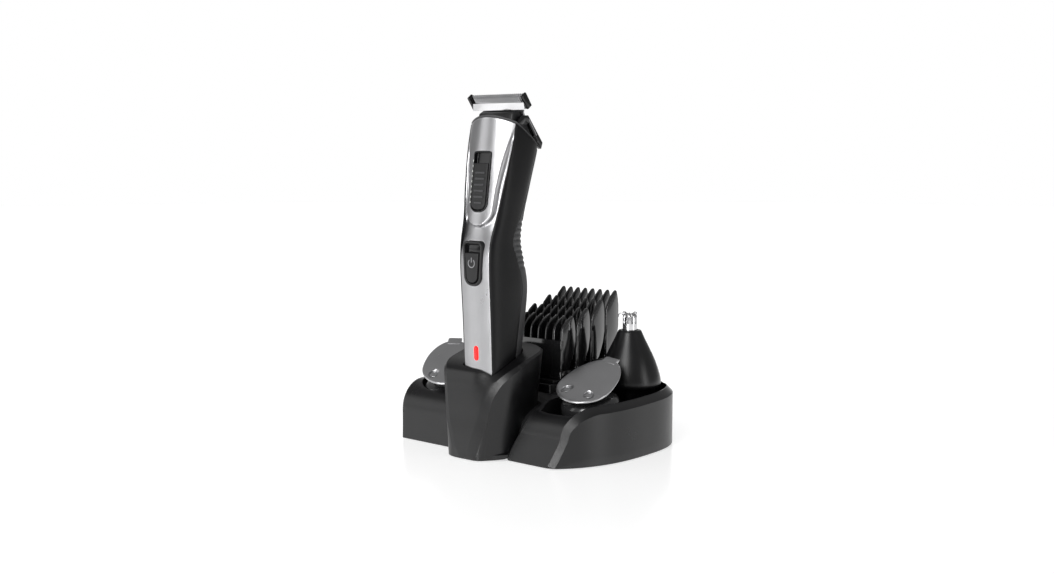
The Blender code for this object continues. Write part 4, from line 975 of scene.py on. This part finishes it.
def nose_head():
    """The nose trimmer: a black cone, a slotted guard with five bent hooks, and its fluted cutter."""
    place = Matrix.Translation((NOSE_X, NOSE_Y, 0))
    profile = [(13.2, 17.3), (13.2, 28.6), (13.6, 29.0), (15.4, 29.2), (16.0, 29.8), (16.2, 30.6),
               (16.2, 32.0), (16.0, 33.4), (15.6, 35.2), (14.6, 38.6), (13.2, 42.4), (11.6, 46.0),
               (9.9, 49.4), (8.3, 52.6), (7.0, 55.4), (6.3, 57.0), (6.0, 57.7), (5.5, 58.1), (4.1, 58.1)]
    inside = [(4.1, 55.0), (11.6, 36.0), (11.6, 29.0), (9.0, 26.0), (9.0, 17.3)]
    cone = turned_ring("nose_housing", profile + inside, SATIN, place, 96)
    cone.data.set_sharp_from_angle(angle=math.radians(50))
    keep(cone, "nose_head", "black_plastic", "nose_cone")
    profile = [(3.0, 55.6), (3.7, 55.6), (3.7, 64.6), (3.6, 65.4), (3.2, 66.1), (2.5, 66.6), (1.2, 66.8),
               (1.2, 66.1), (2.4, 65.9), (3.0, 65.0)]
    tip = turned_ring("nose_guard", profile, CHROME, place, 64)
    for i in range(5):
        turn = Matrix.Rotation(math.pi * i / 5, 4, "Z")
        cut(tip, box("slot", (-6, -0.38, 61.4), (6, 0.38, 71), CHROME, place @ turn))
    keep(eased(tip, 0.08, 1, angle=60), "nose_head", "steel", "nose_tip")
    for i in range(5):
        turn = place @ Matrix.Rotation(math.pi * (2 * i + 0.5) / 5, 4, "Z")
        rings = []
        for k in range(9):
            angle = math.pi * (1.05 - 1.15 * k / 8)
            reach, height = 4.6 + 1.5 * math.cos(angle), 65.5 + 1.4 * math.sin(angle)
            rings.append([(reach + a * math.cos(angle), b, height + a * math.sin(angle))
                          for a, b in ((-0.22, -0.4), (0.22, -0.4), (0.22, 0.4), (-0.22, 0.4))])
        keep(loft(f"nose_hook_{i + 1}", rings, CHROME, turn), "nose_head", "steel")
    core = rod("nose_blade", 2.2, 38.0, 64.6, STEEL, place, 24)
    for i in range(3):
        turn = Matrix.Rotation(math.pi * i / 3, 4, "Z")
        cut(core, box("flute", (0.9, -0.7, 58.0), (6, 0.7, 71), STEEL, place @ turn))
    keep(core, "nose_cutter", "steel", "nose_cutter")


def egg(half, length, tip, count=28):
    """A plate's outline: a half circle in front and a longer half ellipse that ends in a square tip."""
    points = [(half * math.cos(math.pi + math.pi * i / count), half * math.sin(math.pi + math.pi * i / count))
              for i in range(count)]
    stop = math.acos(tip / half)
    side = [(half * math.cos(stop * i / count), length * math.sin(stop * i / count))
            for i in range(count + 1)]
    return points + side + [(-x, y) for x, y in reversed(side)][:-1]


def precision_head(side, spot, turn, radius):
    """A spare narrow-blade head: collar, black body, crowned silver plate and its two blades."""
    place = Matrix.Translation(spot) @ Matrix.Rotation(math.radians(turn), 4, "Z")
    place = place @ Matrix.Rotation(HEAD_TILT, 4, "X")
    body_name = f"precision_head_{side}"
    profile = [(8.5, 0.0), (radius - 0.8, 0.0), (radius - 0.2, 0.8), (radius, 2.0), (radius, 6.6),
               (radius - 0.4, 8.0), (radius - 1.2, 9.2), (radius - 2.6, 9.9), (8.5, 10.0)]
    collar = turned_ring(f"precision_collar_{side}", profile, COLLAR, place, 80)
    keep(collar, body_name, "black_plastic", f"precision_base_{side}")
    neck = turned(f"precision_neck_{side}", [(9.4, 4.0), (9.1, 11.0), (9.3, 15.7)], SATIN, place, 64)
    keep(neck, body_name, "black_plastic")
    tilt = place @ Matrix.Translation((0, -PLATE_REACH, PLATE_RISE)) @ Matrix.Rotation(PLATE_TILT, 4, "X")
    half, length = PLATE_HALF, PLATE_LENGTH
    if side == "right":
        middle, turned_by, raised, rolled, half, length = RIGHT_PLATE
        tilt = Matrix.Translation(middle) @ Matrix.Rotation(math.radians(turned_by), 4, "Z")
        tilt = tilt @ Matrix.Rotation(math.radians(raised), 4, "X")
        tilt = tilt @ Matrix.Rotation(math.radians(rolled), 4, "Y")
    outline = egg(half - 0.7, length - 0.9, PLATE_TIP)
    sections = ((0.55, 4.0, -4.6), (0.62, 3.0, -4.3), (0.86, 1.0, -1.6), (0.97, 0.2, -0.3),
                (0.98, 0.1, 0.1))
    rings = [[(x * scale, y * scale + shift, z) for x, y in outline] for scale, shift, z in sections]
    body = loft(f"precision_body_{side}", rings, GLOSS, tilt, smooth=50)
    cut(body, box("channel", (-3.6, 6.0, -1.5), (3.6, 30.0, 5), GLOSS, tilt))
    keep(body, body_name, "black_plastic")
    outline = egg(half, length, PLATE_TIP)
    sections = ((0.975, 0.3), (0.995, 0.5), (1.0, 0.9), (0.995, 1.25), (0.975, 1.5), (0.93, 1.66),
                (0.8, 1.85), (0.6, 2.05), (0.4, 2.18), (0.2, 2.25), (0.04, 2.27))
    rings = [[(x * scale, y * scale + (1 - scale) * 3.0, z) for x, y in outline] for scale, z in sections]
    plate = loft(f"precision_cover_{side}", rings, PLATE, tilt, smooth=40)
    profile = [(2.0, 1.0), (2.0, 1.5), (1.8, 1.66), (1.0, 1.76), (0.1, 1.8)]
    for letter, sign in (("l", -1), ("r", 1)):
        dimple = tilt @ Matrix.Translation((sign * 6.3, -6.2, 0)) @ Matrix.Rotation(0.05 * sign, 4, "Y")
        cut(plate, rod("dimple", 2.5, 1.35, 4.0, PLATE, dimple, 48))
        button = turned(f"dimple_button_{side}_{letter}", profile, PLATE, dimple, 48)
        keep(button, body_name, "silver_paint")
    keep(plate, body_name, "silver_paint", f"precision_plate_{side}")
    end = length + 2.4
    teeth = toothed(3.6, end - 1.6, end, 0.7, 0.28)
    fixed = prism(f"precision_comb_{side}", [(-3.6, 18.6), (3.6, 18.6)] + teeth, 0.35, 1.05, CHROME, tilt)
    keep(fixed, body_name, "steel", f"precision_blade_{side}")
    outline = rectangle((-3.7, length - 3.6), (3.7, length + 1.2), 0.3, steps=3)
    step = prism(f"precision_step_{side}", outline, 1.0, 1.9, PLATE, tilt)
    keep(eased(step, 0.2, 2), body_name, "silver_paint")
    teeth = toothed(2.6, end - 2.0, end - 0.5, 0.7, 0.28)
    moving = prism(f"precision_mover_{side}", [(-2.6, 9.0), (2.6, 9.0)] + teeth, -1.1, -0.4, STEEL, tilt)
    keep(moving, f"precision_cutter_{side}", "steel", f"precision_cutter_{side}")


# ---- combs

def fin_outline(wall_y, wall_top, tip_y, tip_z, foot):
    """Side view of one fin: an upright shark's fin that narrows again towards its foot."""
    front_top = max(tip_z - 9.0, wall_top + 6.0)
    return [(wall_y + 0.3, foot), (wall_y + 3.0, foot), (wall_y + 7.2, foot + 4.5),
            (wall_y + 10.2, foot + 11.0), (wall_y + 11.6, foot + 17.0),
            (tip_y + 2.6, tip_z - 8.0), (tip_y + 2.0, tip_z - 4.0),
            (tip_y + 1.0, tip_z - 0.8), (tip_y + 0.2, tip_z), (tip_y - 0.9, tip_z - 0.5),
            (tip_y - 4.4, blend(front_top, tip_z, 0.62)), (wall_y + 1.4, front_top + 0.6),
            (wall_y + 0.6, front_top - 1.4), (wall_y + 0.3, wall_top)]


def combs():
    """The four guide combs: a shoe on the rack, a front wall and a row of fins."""
    foot, inner = RACK_TOP + 1.9, COMB_HALF - 1.6
    for index, size in enumerate(COMB_SIZES):
        name = f"comb_{size}mm"
        tip_y, tip_z = COMB_FIRST_Y + COMB_PITCH * index, COMB_TIPS[index]
        wall_y = tip_y - COMB_REACH
        wall_top = COMB_WALL_TOP + (tip_z - COMB_TIPS[0]) * 0.4
        rim = [(-COMB_HALF, wall_y, 1.5), (COMB_HALF, wall_y, 1.5), (COMB_HALF, wall_y + 11.0, 0.5),
               (inner, wall_y + 11.0, 0.5), (inner, wall_y + 1.8, 0.3), (-inner, wall_y + 1.8, 0.3),
               (-inner, wall_y + 11.0, 0.5), (-COMB_HALF, wall_y + 11.0, 0.5)]
        shoe = prism(f"{name}_shoe", rounded(rim, 4), foot, wall_top - 15.5, COMB)
        keep(eased(shoe, 0.3, 2), name, "gloss_black", name)
        outline = rectangle((-COMB_HALF, wall_y), (COMB_HALF, wall_y + 1.8), 0.8, 0.5, 4)
        wall = prism(f"{name}_wall", outline, wall_top - 16.0, wall_top, COMB)
        keep(eased(wall, 0.3, 2), name, "gloss_black")
        for i in range(COMB_TEETH):
            low = wall_top - (18.5 if i in (0, COMB_TEETH - 1) else 14.0)
            outline = fin_outline(wall_y, wall_top, tip_y, tip_z, low)
            middle = -COMB_HALF + 0.75 + (2 * COMB_HALF - 1.5) * i / (COMB_TEETH - 1)
            rings = [[(x, y, z) for y, z in outline] for x in (middle - 0.6, middle + 0.6)]
            keep(eased(loft(f"{name}_fin_{i + 1}", rings, COMB), 0.25, 2, angle=50), name, "gloss_black")


# ---- carried-over pieces and studio

def carried_over():
    """CAD pieces that stay as they are get the finish of their material slot."""
    slots = {row["node"]: row["material_slot"] for row in frame["record"]["subparts"]}
    for name, made in frame["nodes"].items():
        finish = SLOT_LOOKS[slots[name]]
        if name.startswith("rubber_foot"):
            finish = DULL
        made.data.materials.clear()
        made.data.materials.append(finish)


def studio():
    """Pale floor, soft lights and the camera."""
    white = look("studio_floor", (0.80, 0.80, 0.80), 0.20, grain=300.0, bump=0.0, spread=0.02, tone=0.004)
    set_values(white.node_tree.nodes["Principled BSDF"], Emission_Color=(1, 1, 1, 1),
               Emission_Strength=FLOOR_GLOW)
    prism("floor", circle(3000.0, 96), -4.0, -0.02, white)
    turn, drop = math.radians(40.0), math.radians(6.2)
    gaze = Vector((-math.sin(turn) * math.cos(drop), math.cos(turn) * math.cos(drop), -math.sin(drop)))
    world = bpy.data.worlds.new("studio")
    bpy.context.scene.world = world
    world.use_nodes = True
    tree = world.node_tree
    sky = set_values(tree.nodes["Background"], Color=(1, 1, 1, 1))
    facing = node_of(tree, "ShaderNodeVectorMath", operation="DOT_PRODUCT")
    facing.inputs[1].default_value = gaze
    feed(node_of(tree, "ShaderNodeTexCoord").outputs["Generated"], facing, 0)
    backdrop = node_of(tree, "ShaderNodeMapRange", From_Min=0.80, From_Max=0.97, To_Min=ROOM_LIGHT,
                       To_Max=1.0)
    feed(facing.outputs["Value"], backdrop, "Value")
    strength = node_of(tree, "ShaderNodeMath", operation="MAXIMUM")
    feed(backdrop.outputs["Result"], strength, 0)
    feed(node_of(tree, "ShaderNodeLightPath").outputs["Is Camera Ray"], strength, 1)
    feed(strength.outputs["Value"], sky, "Strength")
    for name, spot, aim, size, power in LIGHTS:
        data = bpy.data.lights.new(name, "AREA")
        data.shape = "RECTANGLE"
        data.size, data.size_y = size
        data.energy = power
        lamp = placed(name, data)
        lamp.location = spot
        lamp.rotation_euler = (Vector(aim) - Vector(spot)).to_track_quat("-Z", "Y").to_euler()
    data = bpy.data.cameras.new("camera")
    data.sensor_width, data.lens, data.clip_start = 36.0, 43.04, 0.01
    camera = placed("camera", data)
    camera.location = CAMERA
    camera.rotation_euler = gaze.to_track_quat("-Z", "Y").to_euler()
    bpy.context.scene.camera = camera
    bpy.context.scene.view_settings.view_transform = "Standard"


carried_over()
stand_base()
tower()
rack()
casing()
controls()
head()
nose_head()
precision_head("right", *RIGHT_HEAD)
precision_head("left", *LEFT_HEAD)
combs()
studio()
bpy.context.view_layer.update()
